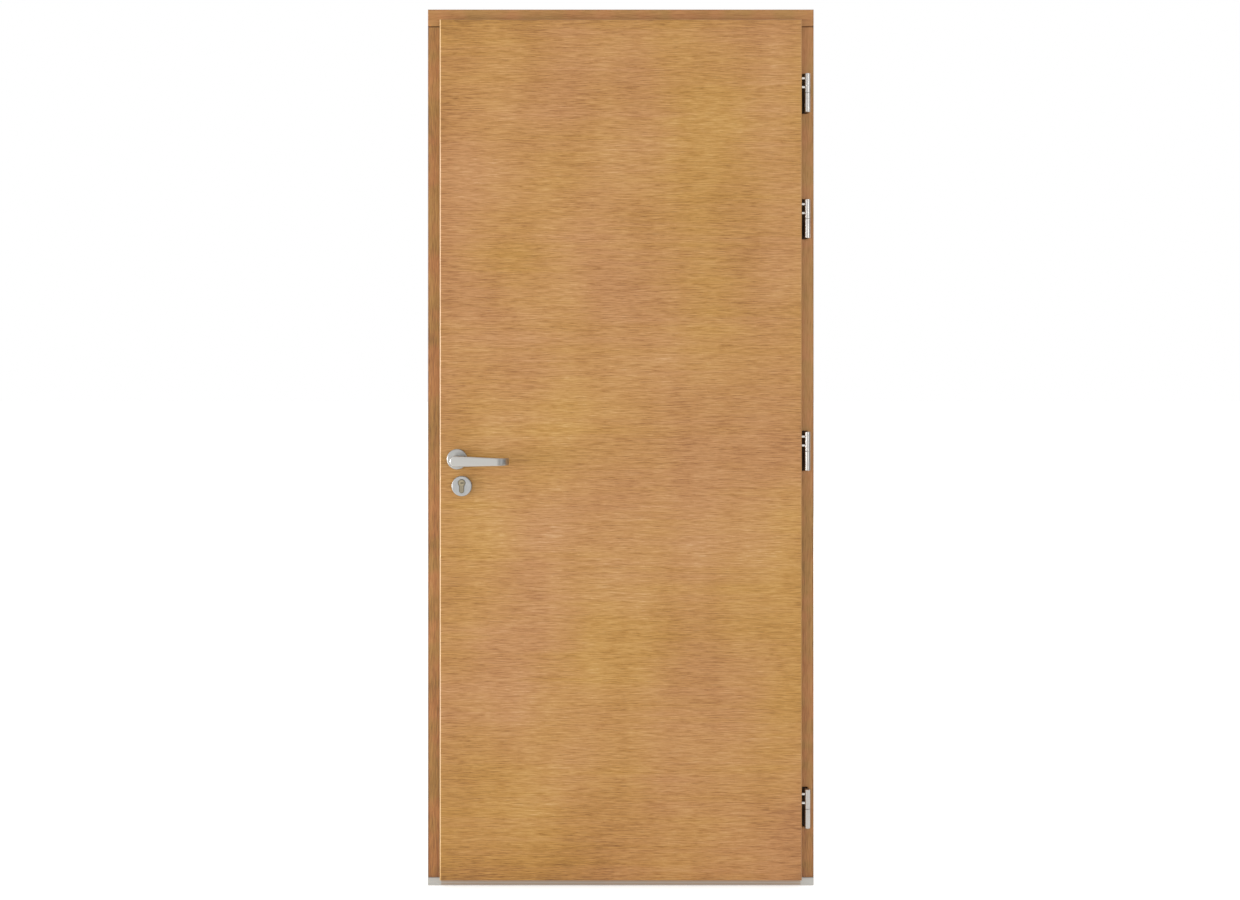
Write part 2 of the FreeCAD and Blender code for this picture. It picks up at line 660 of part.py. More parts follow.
def hinge(name, middle):
    """A pin hinge: the lower half stands on the frame, and the upper half drops over its pin."""
    half = "(Sizes.knuckle_height / 2)"
    seam = "(Sizes.knuckle_seam / 2)"
    wall = "(Sizes.knuckle_diameter / 2)"
    pin = "(Sizes.pivot_pin_diameter / 2)"
    pin_top = f"({seam} + Sizes.pivot_pin_length)"
    bore = f"({pin} + Sizes.pivot_running_gap)"
    bore_top = f"({pin_top} + Sizes.pivot_running_gap)"

    lower = turned_knuckle(name + "_frame_knuckle", middle, [
        ("0", f"-{half}"), (wall, f"-{half}"), (wall, f"-{seam}"), (pin, f"-{seam}"),
        (pin, pin_top), ("0", pin_top)])
    lug_back = f"({POCKET_BACK} - Sizes.hinge_plate_thickness)"
    lug = sketch_on(lower, name + "_lug", "XZ_Plane", f"-{lug_back}")
    lug_foot = f"({middle} - {half} + Sizes.hinge_lug_rise)"
    rectangle(lug, around(PIVOT_X, "Sizes.hinge_lug_width"),
              (lug_foot, f"{lug_foot} + Sizes.hinge_lug_height"))
    pad(lower, lug, name + "_lug_length", f"{lug_back} - {PIVOT_Y}")

    upper = turned_knuckle(name + "_leaf_knuckle", middle, [
        ("0", half), ("0", bore_top), (bore, bore_top), (bore, seam), (wall, seam), (wall, half)])
    pin_start = f"({LIP_EDGE} - Sizes.hinge_pin_depth)"
    pins = sketch_on(upper, name + "_pins", "YZ_Plane", pin_start)
    for height in leaf_pin_heights(middle):
        circle(pins, PIVOT_Y, height, "Sizes.hinge_pin_diameter / 2")
    in_wall = f"({PIVOT_X} - ({wall} + {bore}) / 2)"
    pad(upper, pins, name + "_pin_length", f"{in_wall} - {pin_start}")

    plate = new_body(name + "_frame_plate")
    outline = sketch_on(plate, name + "_plate_outline", "XZ_Plane", f"-{POCKET_BACK}")
    left, right = around(POCKET_X, "(Sizes.pocket_width - 2 * Sizes.hinge_plate_gap)")
    low, high = around(middle, "(Sizes.pocket_height - 2 * Sizes.hinge_plate_gap)")
    corner = "Sizes.pocket_radius"
    polygon(outline, [(f"{left} + {corner}", low), (f"{right} - {corner}", low),
                      (right, f"{low} + {corner}"), (right, f"{high} - {corner}"),
                      (f"{right} - {corner}", high), (f"{left} + {corner}", high),
                      (left, f"{high} - {corner}"), (left, f"{low} + {corner}")])
    pad(plate, outline, name + "_plate_thickness", "Sizes.hinge_plate_thickness")


def turned_knuckle(label, middle, half_section):
    """A part of the hinge turned about the pivot, its heights taken from the hinge's middle."""
    body = new_body(label)
    section = sketch_on(body, label + "_section", "XZ_Plane", f"-{PIVOT_Y}", PIVOT_X, middle)
    polygon(section, half_section)
    turn = feature_from(body, "PartDesign::Revolution", section, label + "_turned", False)
    turn.ReferenceAxis = (section, ["V_Axis"])
    turn.Angle = 360
    return body


# Lever and key furniture

def rose(label, face, thickness, outward, draw):
    """A flat rose on one face of the leaf. outward is -1 to the room and 1 to the outside."""
    body = new_body(label)
    outline = sketch_on(body, label + "_outline", "XZ_Plane", f"-({face})")
    draw(outline)
    pad(body, outline, label + "_thickness", thickness, reverse=outward > 0)
    return body


def roses():
    inner_front = f"({LIP_FRONT} - Sizes.rose_thickness)"
    inner = rose("inner_lever_rose", LIP_FRONT, "Sizes.rose_thickness", -1,
                 lambda sketch: circle(sketch, LEVER_X, LEVER_Z, "Sizes.rose_diameter / 2"))
    outer = rose("outer_lever_rose", BODY_BACK, "Sizes.outer_rose_thickness", 1,
                 lambda sketch: round_ended(sketch, LEVER_X, LEVER_Z, "Sizes.outer_rose_width",
                                            "Sizes.outer_rose_height"))
    necks = ((inner, "inner_neck_hole", inner_front, "Sizes.rose_thickness", "neck"),
             (outer, "outer_neck_hole", BODY_BACK, "Sizes.outer_rose_thickness", "outer_neck"))
    for body, name, front, depth, neck in necks:
        radius = f"(Sizes.{neck}_diameter / 2 + Sizes.neck_running_gap)"
        hole(body, name, front, depth,
             lambda sketch, size=radius: circle(sketch, LEVER_X, LEVER_Z, size))

    sides = (("inner_key_rose", LIP_FRONT, inner_front, "Sizes.rose_thickness", -1),
             ("outer_key_rose", BODY_BACK, BODY_BACK, "Sizes.outer_rose_thickness", 1))
    for label, face, front, thickness, outward in sides:
        body = rose(label, face, thickness, outward,
                    lambda sketch: circle(sketch, KEY_X, KEY_Z, "Sizes.key_rose_diameter / 2"))
        cylinder_holes(body, label, front, thickness)


def lock_cylinder():
    """A profile cylinder through the leaf, with a key plug seated in each end."""
    front = f"({LIP_FRONT} - Sizes.rose_thickness - Sizes.cylinder_proud)"
    back = f"({BODY_BACK} + Sizes.outer_rose_thickness + Sizes.cylinder_proud)"
    body = new_body("lock_cylinder")
    barrel = sketch_on(body, "cylinder_barrel", "XZ_Plane", f"-({front})")
    circle(barrel, KEY_X, CYLINDER_Z, "Sizes.cylinder_diameter / 2")
    pad(body, barrel, "cylinder_barrel_length", f"{back} - {front}", reverse=True)
    tail = sketch_on(body, "cylinder_tail", "XZ_Plane", f"-({front})")
    tail_outline(tail, "0")
    pad(body, tail, "cylinder_tail_length", f"{back} - {front}", reverse=True)
    for side, face, reverse in (("inner", front, False), ("outer", back, True)):
        seat = sketch_on(body, f"{side}_plug_seat", "XZ_Plane", f"-({face})")
        circle(seat, KEY_X, CYLINDER_Z, "Sizes.plug_diameter / 2")
        pocket(body, seat, f"{side}_plug_seat_depth", "Sizes.plug_depth", reverse=reverse)
        plug = new_body(f"{side}_key_plug")
        disc = sketch_on(plug, f"{side}_plug_outline", "XZ_Plane", f"-({face})")
        circle(disc, KEY_X, CYLINDER_Z, "Sizes.plug_diameter / 2")
        pad(plug, disc, f"{side}_plug_length", "Sizes.plug_depth", reverse=not reverse)
        keyway = sketch_on(plug, f"{side}_keyway", "XZ_Plane", f"-({face})")
        rectangle(keyway, around(f"({KEY_X} + Sizes.keyway_offset)", "Sizes.keyway_height"),
                  around(CYLINDER_Z, "Sizes.keyway_width"))
        pocket(plug, keyway, f"{side}_keyway_depth", "Sizes.keyway_depth", reverse=reverse)


def lever(label, face, outward, projection, neck_radius, heel_radius, heel_rise):
    """A flat bar on a round neck, trimmed to its outline, with its end bent back to the door."""
    def depth(amount):
        return f"({face} + ({outward}) * ({amount}))"

    reach = "Sizes.lever_reach"
    back = f"({projection} - Sizes.lever_thickness)"
    end = f"({projection} - Sizes.lever_return)"
    heel = f"-2 * {heel_radius}"
    body = new_body(label)
    plan = sketch_on(body, label + "_plan", "XY_Plane",
                     "Sizes.lever_height - 2 * Sizes.lever_drop", LEVER_X)
    polygon(plan, [(heel, depth(projection)), (reach, depth(projection)), (reach, depth(end)),
                   (f"{reach} - Sizes.lever_thickness", depth(end)),
                   (f"{reach} - Sizes.lever_thickness", depth(back)), (heel, depth(back))])
    pad(body, plan, label + "_bar", "4 * Sizes.lever_drop")
    bend = "Sizes.lever_return - Sizes.lever_end_flat"
    round_bend(body, label + "_inner_bend", outward, True, f"{bend} - Sizes.lever_thickness")
    round_bend(body, label + "_outer_bend", outward, False, bend)
    cut_outline(body, label, heel_radius, heel_rise)
    doc.recompute()
    edges = [f"Edge{number}" for number, edge in enumerate(body.Shape.Edges, start=1)
             if not runs_through(edge)]
    dress(body, "Chamfer", label + "_edges", edges, "Sizes.lever_edge")
    neck = sketch_on(body, label + "_neck", "XZ_Plane", f"-({face})")
    circle(neck, LEVER_X, LEVER_Z, neck_radius)
    pad(body, neck, label + "_neck_length", f"{projection} - Sizes.lever_thickness / 2",
        reverse=outward > 0)


def round_bend(body, name, outward, inside, radius):
    """Rounds the bar's outer or inner corner, found by its place among the upright edges."""
    doc.recompute()
    box = body.Shape.BoundBox
    found = []
    for number, edge in enumerate(body.Shape.Edges, start=1):
        span = edge.BoundBox
        upright = span.XLength < 1e-3 and span.YLength < 1e-3
        at_end = abs(span.XMin - box.XMax) < 1e-3
        if upright and abs(span.XMin - box.XMin) > 1e-3 and at_end != inside:
            found.append((outward * span.YMin, f"Edge{number}"))
    dress(body, "Fillet", name, [max(found)[1]], radius)


def cut_outline(body, label, heel_radius, heel_rise):
    """Trims the bar to the lever's outline: a round heel, a waist and a slightly lower tip."""
    sketch = sketch_on(body, label + "_outline", "XZ_Plane", "0", LEVER_X, LEVER_Z)
    margin = "Sizes.lever_reach / 2"
    rectangle(sketch, (f"-{margin}", f"Sizes.lever_reach + {margin}"), (f"-{margin}", margin))
    arc = sketch.GeometryCount
    ring = Part.Circle(Vector(0, -1, 0), Vector(0, 0, 1), 12)
    sketch.addGeometry(Part.ArcOfCircle(ring, math.radians(85), math.radians(270)), False)
    start_points = [Vector(1, 11, 0), Vector(34, 9, 0), Vector(130, 5, 0), Vector(130, -12, 0),
                    Vector(34, -14, 0), Vector(0, -13, 0)]
    for start, end in zip(start_points, start_points[1:]):
        sketch.addGeometry(Part.LineSegment(start, end), False)
    sketch.addConstraint(Sketcher.Constraint("Tangent", arc, 1, arc + 1, 1))
    for line in range(arc + 1, arc + 5):
        sketch.addConstraint(Sketcher.Constraint("Coincident", line, 2, line + 1, 1))
    sketch.addConstraint(Sketcher.Constraint("Tangent", arc + 5, 2, arc, 2))
    bind(sketch, "Radius", arc, heel_radius)
    bind_place(sketch, arc, 3, "0", heel_rise)
    corners = [("Sizes.lever_waist", "Sizes.lever_waist_rise"),
               ("Sizes.lever_reach", "Sizes.lever_tip_rise"),
               ("Sizes.lever_reach", "-Sizes.lever_tip_drop"),
               ("Sizes.lever_waist", "-Sizes.lever_drop")]
    for line, (across, up) in enumerate(corners, start=arc + 1):
        bind_place(sketch, line, 2, across, up)
    trim = feature_from(body, "PartDesign::Pocket", sketch, label + "_trim", False)
    trim.Type = "ThroughAll"
    trim.Midplane = True


def runs_through(edge):
    """True of a short edge straight through the bar's thickness, and of a smooth upright seam."""
    span = edge.BoundBox
    through = span.XLength < 1e-3 and span.ZLength < 1e-3
    upright = span.XLength < 1e-3 and span.YLength < 1e-3
    return through or upright


def levers():
    heel = "Sizes.lever_heel_radius"
    lever("inner_lever", LIP_FRONT, -1, "Sizes.lever_projection", "(Sizes.neck_diameter / 2)",
          heel, f"{heel} - Sizes.lever_drop")
    outer_neck = "(Sizes.outer_neck_diameter / 2)"
    lever("outer_lever", BODY_BACK, 1, "Sizes.outer_lever_projection", outer_neck, outer_neck, "0")
    spindle = block("lever_spindle", around(LEVER_X, "Sizes.spindle_size"), (LIP_FRONT, BODY_BACK),
                    around(LEVER_Z, "Sizes.spindle_size"))
    keep(spindle, "lever_spindle")


# Building, checking and writing

def build():
    fill_sheet()
    hinge_jamb()
    lock_jamb()
    head_rail()
    stops_and_seals()
    threshold()
    strike_plate()
    inner_face_board()
    leaf_body()
    bottom_seal()
    lock_edge_pieces()
    for name, middle in HINGES.items():
        hinge(name, middle)
    roses()
    lock_cylinder()
    levers()
    doc.recompute()


def check():
    for item in doc.Objects:
        if "Invalid" in item.State or "Error" in item.State:
            raise RuntimeError(f"{item.Name} failed: {item.State}")
    for piece in pieces:
        shape = piece.Shape
        if shape.isNull() or not shape.isValid() or not shape.Solids:
            raise RuntimeError(f"{piece.Label} has no valid solid")


def write():
    os.makedirs("parts", exist_ok=True)
    for piece in pieces:
        piece.Shape.exportStep(f"parts/{piece.Label}.step")
        print(piece.Label, len(piece.Shape.Solids), round(piece.Shape.Volume))


build()
check()
write()
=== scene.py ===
import math

import bmesh
import bpy
from mathutils import Matrix, Vector


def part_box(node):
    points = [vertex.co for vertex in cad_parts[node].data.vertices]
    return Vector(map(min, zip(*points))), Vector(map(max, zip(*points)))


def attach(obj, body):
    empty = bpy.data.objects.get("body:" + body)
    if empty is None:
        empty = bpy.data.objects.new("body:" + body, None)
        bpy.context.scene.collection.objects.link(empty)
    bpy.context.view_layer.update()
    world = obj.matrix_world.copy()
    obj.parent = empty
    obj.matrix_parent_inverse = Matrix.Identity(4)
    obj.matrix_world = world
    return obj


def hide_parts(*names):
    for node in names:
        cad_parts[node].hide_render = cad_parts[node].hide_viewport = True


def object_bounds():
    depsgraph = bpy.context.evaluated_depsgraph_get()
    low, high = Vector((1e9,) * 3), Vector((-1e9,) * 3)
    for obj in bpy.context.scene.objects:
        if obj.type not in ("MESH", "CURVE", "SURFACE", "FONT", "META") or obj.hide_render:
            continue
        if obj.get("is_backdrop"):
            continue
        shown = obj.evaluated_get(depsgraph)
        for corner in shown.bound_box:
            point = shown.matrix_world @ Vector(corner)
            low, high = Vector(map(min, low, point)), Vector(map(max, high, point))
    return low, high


# Oak front door in its frame: finishes, small fasteners and the studio round them.
# X runs to the hinges, Y to the outside and Z up, in metres, from the middle of the threshold.

MM = 0.001
PHOTO_WIDTH = 1240
FOCAL_PIXELS = 1426.6
SENSOR_MM = 36.0
EYE = Vector((0.0, -3.584, 1.345))
HORIZON_SHIFT_PIXELS = -105.0
SIDE_SHIFT_PIXELS = -0.8

LEVER_REACH = 130 * MM
LEVER_THICKNESS = 9.5 * MM
LEVER_BEND = 23.25 * MM
LEVER_TAIL = 2 * MM
LEVER_EDGE = 3 * MM
LEVER_CORNER = 4 * MM
LEVER_WAIST = 35 * MM
WAIST_TOP, TIP_TOP = 9.7 * MM, 5 * MM
WAIST_FOOT, TIP_FOOT = -14.5 * MM, -12.5 * MM
NECK_RADIUS, OUTER_NECK_RADIUS = 9.5 * MM, 8.5 * MM
HEEL_RADIUS = 12.9 * MM
ROSE_EDGE = 2.2 * MM
EDGE_LAND = 0.3 * MM
RUNNING_GAP = 0.3 * MM
KEY_GAP = 1.0 * MM
COVER_SHEET = 1.0 * MM
KEYWAY_WIDTH, KEYWAY_HEIGHT, KEYWAY_SHIFT = 8.5 * MM, 2.2 * MM, 1.5 * MM
CYLINDER_RADIUS, CYLINDER_TAIL = 8.5 * MM, 10.7 * MM
LOCK_PIN_SINK, LOCK_PIN_LENGTH = 1 * MM, 6 * MM
HINGES = (1, 2, 3, 4)
KNUCKLE_RADIUS, KNUCKLE_LENGTH = 7 * MM, 47.8 * MM
KNUCKLE_SEAM, KNUCKLE_EDGE = 0.4 * MM, 0.7 * MM
HINGE_PIN_RADIUS, HINGE_PIN_NEAR, HINGE_PIN_FAR = 2.75 * MM, 12 * MM, 34 * MM
HINGE_LUG_WIDTH, HINGE_LUG_HEIGHT, HINGE_LUG_RISE = 6 * MM, 36 * MM, 5 * MM
PLATE_SCREW_INSET, HINGE_SCREW_INSET = 12 * MM, 14 * MM
HINGE_SCREW_SIDE, CYLINDER_SCREW_DROP = 7 * MM, 10 * MM
SET_SCREW_OUT, OUTER_SET_SCREW_OUT = 20 * MM, 18 * MM
THRESHOLD_SCREWS = (-0.40, -0.133, 0.133, 0.40)
SHARP_ANGLE = math.radians(35)
LAMP_AIM = Vector((0.0, 0.0, 1.0))


# Nodes and colours

RANGE = ("Value", "From Min", "From Max", "To Min", "To Max")


def add(tree, kind, inputs=None, **settings):
    """Adds one node, sets its properties, and links or sets its inputs by name or number.

    A node given for an input stands for its first output. A list of nodes or sockets is linked
    to one input in turn.
    """
    node = tree.nodes.new(kind)
    for name, value in settings.items():
        setattr(node, name, value)
    for key, value in (inputs or {}).items():
        sources = value if isinstance(value, list) else [value]
        sources = [s.outputs[0] if isinstance(s, bpy.types.Node) else s for s in sources]
        if isinstance(sources[0], bpy.types.NodeSocket):
            for socket in sources:
                tree.links.new(socket, node.inputs[key])
        else:
            node.inputs[key].default_value = value
    return node


def linear(colour):
    """The linear RGBA of an sRGB hex colour such as #C89B5F."""
    channels = [int(colour[place:place + 2], 16) / 255 for place in (1, 3, 5)]
    return [c / 12.92 if c <= 0.04045 else ((c + 0.055) / 1.055) ** 2.4 for c in channels] + [1.0]


def new_material(name):
    """A material with an empty tree, and its Object coordinates."""
    material = bpy.data.materials.new(name)
    material.use_nodes = True
    material.node_tree.nodes.clear()
    place = add(material.node_tree, "ShaderNodeTexCoord").outputs["Object"]
    return material, material.node_tree, place


def surface(tree, inputs):
    """Ends a tree in one principled surface."""
    shader = add(tree, "ShaderNodeBsdfPrincipled", inputs)
    add(tree, "ShaderNodeOutputMaterial", {"Surface": shader})


def streaks(tree, place, length, height, detail=2.0, roughness=0.5, turn=0.0):
    """Noise drawn out along X. Length and height are the real size of one streak in metres."""
    turned = add(tree, "ShaderNodeMapping", {
        "Vector": place, "Rotation": (0.0, turn, 0.0),
        "Scale": (length, height, height)}, vector_type="TEXTURE")
    return add(tree, "ShaderNodeTexNoise", {
        "Vector": turned, "Scale": 1.0, "Detail": detail, "Roughness": roughness})


def layered(tree, rows):
    """The sum of some patterns, each held between two of its values and brought to two others.

    A row is a pattern, its two values and what they become.
    """
    whole = None
    for row in rows:
        part = add(tree, "ShaderNodeMapRange", dict(zip(RANGE, row)))
        whole = part if whole is None else add(
            tree, "ShaderNodeMath", {0: whole, 1: part}, operation="ADD")
    return whole


# Timber

# The palest stop of each veneer palette, at 1.0, is there for the painted highlight on the leaf's
# left arris.
VENEER_YELLOW = [(0.0, "#7E521C"), (0.35, "#B38038"), (0.5, "#C18F46"), (0.75, "#CFA25D"),
                 (1.0, "#E6C596")]
VENEER_PINK = [(0.0, "#7A4B22"), (0.35, "#B17A45"), (0.5, "#BF8953"), (0.75, "#CD9C69"),
               (1.0, "#E4C19A")]
FRAME_RED = [(0.0, "#6A3F1C"), (0.35, "#A26A37"), (0.5, "#B07640"), (0.75, "#BD854F")]
FRAME_OLIVE = [(0.0, "#5E411D"), (0.35, "#956B30"), (0.5, "#A5783B"), (0.75, "#B5864A")]
CLOUD_SHARE, GRAIN_SHARE, LINE_SHARE = 0.13, 0.28, 0.07
ARRIS_START, ARRIS_END = 2.6 * MM, 3.6 * MM


def oak(name, first, second, turn=0.0, start=(0.0, 0.0, 0.0), cloud=300 * MM, bands=28 * MM,
        band_share=0.05, lift=0.0, marks_and_painted_light=None):
    """Oak with its grain along X, or along Z when turned. Open pores under a satin lacquer.

    Each streak has its real length and height, apart from the grain and the pores, which are
    drawn about three times as high as in oak, so that they show.
    """
    material, tree, object_place = new_material(name)
    place = add(tree, "ShaderNodeMapping", {
        "Vector": object_place, "Location": start, "Rotation": (0.0, turn, 0.0)})
    patches = streaks(tree, place, cloud, cloud * 1.4, 1.0, 0.4)
    clouds = streaks(tree, place, 260 * MM, 150 * MM, 1.2, 0.45)
    columns = streaks(tree, place, 90 * MM, 360 * MM, 0.6, 0.5)
    mottle = streaks(tree, place, 60 * MM, 30 * MM)
    stripes = streaks(tree, place, 900 * MM, bands, 3.0, 0.6)
    grain = streaks(tree, place, 32 * MM, 1.2 * MM, 1.5, 0.6)
    dashes = streaks(tree, place, 50 * MM, 1.8 * MM, 1.0, 0.5)
    pores = streaks(tree, place, 16 * MM, 0.9 * MM, 1.0, 0.5)
    lines = streaks(tree, place, 700 * MM, 5 * MM, 1.0, 0.4)
    rays = streaks(tree, place, 12 * MM, 3.5 * MM, 1.0, 0.5, math.radians(70))
    rows = [
        (clouds, 0.3, 0.7, 0.5 + lift - CLOUD_SHARE / 2, 0.5 + lift + CLOUD_SHARE / 2),
        (columns, 0.3, 0.7, -CLOUD_SHARE / 3, CLOUD_SHARE / 3),
        (mottle, 0.3, 0.7, -CLOUD_SHARE / 8, CLOUD_SHARE / 8),
        (stripes, 0.25, 0.75, -band_share / 2, band_share / 2),
        (grain, 0.25, 0.75, -GRAIN_SHARE, GRAIN_SHARE),
        (dashes, 0.26, 0.40, -GRAIN_SHARE / 3, 0.0),
        (pores, 0.30, 0.45, -0.14, 0.02),
        (lines, 0.24, 0.36, -LINE_SHARE, 0.0),
        (rays, 0.62, 0.75, 0.0, 0.05),
    ]
    # Rows of painted shade and highlight, and of darker arrises and joints, along the piece's
    # edges.
    if marks_and_painted_light:
        rows += marks_and_painted_light(tree, object_place)
    tone = layered(tree, rows)
    shades = []
    for stops in (first, second):
        shade = add(tree, "ShaderNodeValToRGB", {0: tone})
        elements = shade.color_ramp.elements
        while len(elements) < len(stops):
            elements.new(0.5)
        for element, (position, colour) in zip(elements, stops):
            element.position = position
            element.color = linear(colour)
        shades.append(shade)
    hue = add(tree, "ShaderNodeMath", {
        0: patches, 1: layered(tree, [(stripes, 0.2, 0.8, -0.12, 0.12)])}, operation="ADD")
    colour = add(tree, "ShaderNodeMix", {
        0: layered(tree, [(hue, 0.34, 0.66, 0.0, 1.0)]), 6: shades[0], 7: shades[1]},
        data_type="RGBA")
    relief = layered(tree, [(pores, 0.30, 0.45, -1.0, 0.0), (grain, 0.3, 0.6, -0.6, 0.0)])
    bump = add(tree, "ShaderNodeBump", {
        "Height": relief, "Distance": 0.06 * MM, "Strength": 0.8})
    surface(tree, {
        "Base Color": colour.outputs[2], "Normal": bump,
        "Roughness": layered(tree, [(pores, 0.3, 0.5, 0.62, 0.46)]),
        "Coat Weight": 0.12, "Coat Roughness": 0.28})
    return material


# Metals, plastic and rubber

BRUSH_WIDTH, BRUSH_LENGTH = 0.35 * MM, 45 * MM
LATHE_RING, METAL_CLOUD = 0.5 * MM, 9 * MM
# How much brighter the palest metal is than its own colour.
PALE_GAIN = 1.12


def brushed_steel(name, colour, along, roughness):
    """Stainless steel with a satin brush: long faint scratches along one axis.

    Real scratches are finer still, and wouldn't show.
    """
    material, tree, place = new_material(name)
    sizes = [BRUSH_WIDTH] * 3
    sizes["XYZ".index(along)] = BRUSH_LENGTH
    drawn = add(tree, "ShaderNodeMapping", {
        "Vector": place, "Scale": [1 / size for size in sizes]})
    scratch = add(tree, "ShaderNodeTexNoise", {
        "Vector": drawn, "Scale": 1.0, "Detail": 3.0, "Roughness": 0.6})
    pale = add(tree, "ShaderNodeMix", {
        0: layered(tree, [(scratch, 0.3, 0.7, 0.0, 1.0)]), 6: linear(colour),
        7: [min(1.0, c * PALE_GAIN) for c in linear(colour)]}, data_type="RGBA")
    bump = add(tree, "ShaderNodeBump", {
        "Height": scratch, "Distance": 0.02 * MM, "Strength": 0.5})
    surface(tree, {
        "Base Color": pale.outputs[2], "Metallic": 1.0, "Normal": bump,
        "Roughness": layered(tree, [(scratch, 0.3, 0.7, roughness - 0.05, roughness + 0.07)])})
    return material


def turned_steel(name, colour, centre, roughness):
    """Stainless steel faced on a lathe: faint rings about an axis along Y through centre."""
    material, tree, place = new_material(name)
    moved = add(tree, "ShaderNodeMapping", {
        "Vector": place, "Location": (-centre[0], 0.0, -centre[1]), "Scale": (1.0, 0.0, 1.0)})
    radius = add(tree, "ShaderNodeVectorMath", {0: moved}, operation="LENGTH")
    rings = add(tree, "ShaderNodeTexNoise", {
        "W": radius.outputs["Value"], "Scale": 1 / LATHE_RING, "Detail": 2.0},
        noise_dimensions="1D")
    cloudy = add(tree, "ShaderNodeTexNoise", {
        "Vector": place, "Scale": 1 / METAL_CLOUD, "Detail": 2.0})
    pale = add(tree, "ShaderNodeMix", {
        0: layered(tree, [(cloudy, 0.3, 0.7, 0.0, 1.0)]), 6: linear(colour),
        7: [min(1.0, c * PALE_GAIN) for c in linear(colour)]}, data_type="RGBA")
    bump = add(tree, "ShaderNodeBump", {
        "Height": rings, "Distance": 0.02 * MM, "Strength": 0.5})
    surface(tree, {
        "Base Color": pale.outputs[2], "Metallic": 1.0, "Normal": bump,
        "Roughness": layered(tree, [(rings, 0.3, 0.7, roughness - 0.05, roughness + 0.07)])})
    return material


def speckled(name, colour, other, grain, roughness, relief=0.03, metallic=0.0, painted_shade=None):
    """A dull surface whose colour and height vary with a fine grain, given in metres.

    relief is in millimetres. The last argument is a colour of painted shade and a function that
    gives how much of it shows at a place.
    """
    material, tree, place = new_material(name)
    noise = add(tree, "ShaderNodeTexNoise", {
        "Vector": place, "Scale": 1 / grain, "Detail": 3.0, "Roughness": 0.6})
    mixed = add(tree, "ShaderNodeMix", {
        0: layered(tree, [(noise, 0.3, 0.7, 0.0, 1.0)]), 6: linear(colour), 7: linear(other)},
        data_type="RGBA")
    if painted_shade:
        mixed = add(tree, "ShaderNodeMix", {
            0: painted_shade[1](tree, place), 6: mixed.outputs[2], 7: linear(painted_shade[0])},
            data_type="RGBA")
    bump = add(tree, "ShaderNodeBump", {
        "Height": noise, "Distance": relief * MM, "Strength": 0.6})
    surface(tree, {
        "Base Color": mixed.outputs[2], "Metallic": metallic, "Normal": bump,
        "Roughness": layered(tree, [(noise, 0.3, 0.7, roughness - 0.06, roughness + 0.06)])})
    return material


# Painted shade and highlight, darker arrises and dark joints, which follow the edges of the pieces

def veneer_painted_light(tree, place):
    """Rows of painted shade that make the veneer a little darker towards its edges, top and foot,
    and a painted highlight on its left arris.
    """
    parts = add(tree, "ShaderNodeSeparateXYZ", {0: place}).outputs
    low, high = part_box("inner_face_board")
    return [
        (parts["X"], low.x, low.x + 0.12, -0.08, 0.0),
        # Painted highlight on the leaf's left arris, on the side the light comes from.
        (parts["X"], low.x + ARRIS_START, low.x + ARRIS_END, 0.55, 0.0),
        (parts["X"], high.x - 0.08, high.x, 0.0, -0.05),
        (parts["Z"], low.z, low.z + 0.05, -0.10, 0.0),
        (parts["Z"], low.z + 0.04, low.z + 0.24, -0.07, 0.0),
        (parts["Z"], high.z - 0.06, high.z, 0.0, -0.08)]


def frame_joint_and_shade(tree, place):
    """Rows that darken the frame's outer arris and its dark joint under the head, and painted
    shade at its foot.
    """
    parts = add(tree, "ShaderNodeSeparateXYZ", {0: place}).outputs
    side = add(tree, "ShaderNodeMath", {0: parts["X"]}, operation="ABSOLUTE")
    joint = add(tree, "ShaderNodeMath", {0: parts["Z"], 1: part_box("head_rail")[0].z},
                operation="SUBTRACT")
    away = add(tree, "ShaderNodeMath", {0: joint}, operation="ABSOLUTE")
    foot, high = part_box("lock_jamb")[0].z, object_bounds()[1]
    return [
        (side, high.x - 3.2 * MM, high.x - 2.2 * MM, 0.0, -0.26),
        (parts["Z"], high.z - 2.4 * MM, high.z - 1.4 * MM, 0.0, -0.22),
        # Painted shade at the foot of the jambs, above the threshold.
        (parts["Z"], foot, foot + 6 * MM, -0.22, 0.0),
        (parts["Z"], foot, foot + 0.16, -0.15, 0.0),
        (away, 1.2 * MM, 2.2 * MM, -0.5, 0.0)]


def hinge_jamb_joint_and_shade(tree, place):
    """Rows for the hinge jamb, which is also darker below the middle of its height."""
    parts = add(tree, "ShaderNodeSeparateXYZ", {0: place}).outputs
    return [*frame_joint_and_shade(tree, place), (parts["Z"], 0.85, 1.15, -0.10, 0.0)]


def sill_painted_shade(tree, place):
    """The threshold is painted duller and warmer under the leaf, as painted shade and a painted
    reflection of the oak, most of all where the two nearly meet.
    """
    parts = add(tree, "ShaderNodeSeparateXYZ", {0: place}).outputs
    side = add(tree, "ShaderNodeMath", {0: parts["X"]}, operation="ABSOLUTE")
    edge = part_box("inner_face_board")[1].x
    bands = layered(tree, [
        (parts["Z"], 1.5 * MM, 3 * MM, -0.60, 0.0),
        (parts["Z"], 5.5 * MM, 7 * MM, 0.70, 0.42),
        (parts["Z"], 8.5 * MM, 10.5 * MM, 0.0, 0.35),
        (parts["Z"], 11.5 * MM, 16 * MM, 0.0, -0.75)])
    under_leaf = layered(tree, [(side, edge - 2 * MM, edge, 1.0, 0.0)])
    return add(tree, "ShaderNodeMath", {0: bands, 1: under_leaf}, operation="MULTIPLY")


# The door's finishes

def box_middle(node):
    """The middle of a CAD node's box, seen along Y."""
    low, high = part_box(node)
    return ((low.x + high.x) / 2, (low.z + high.z) / 2)


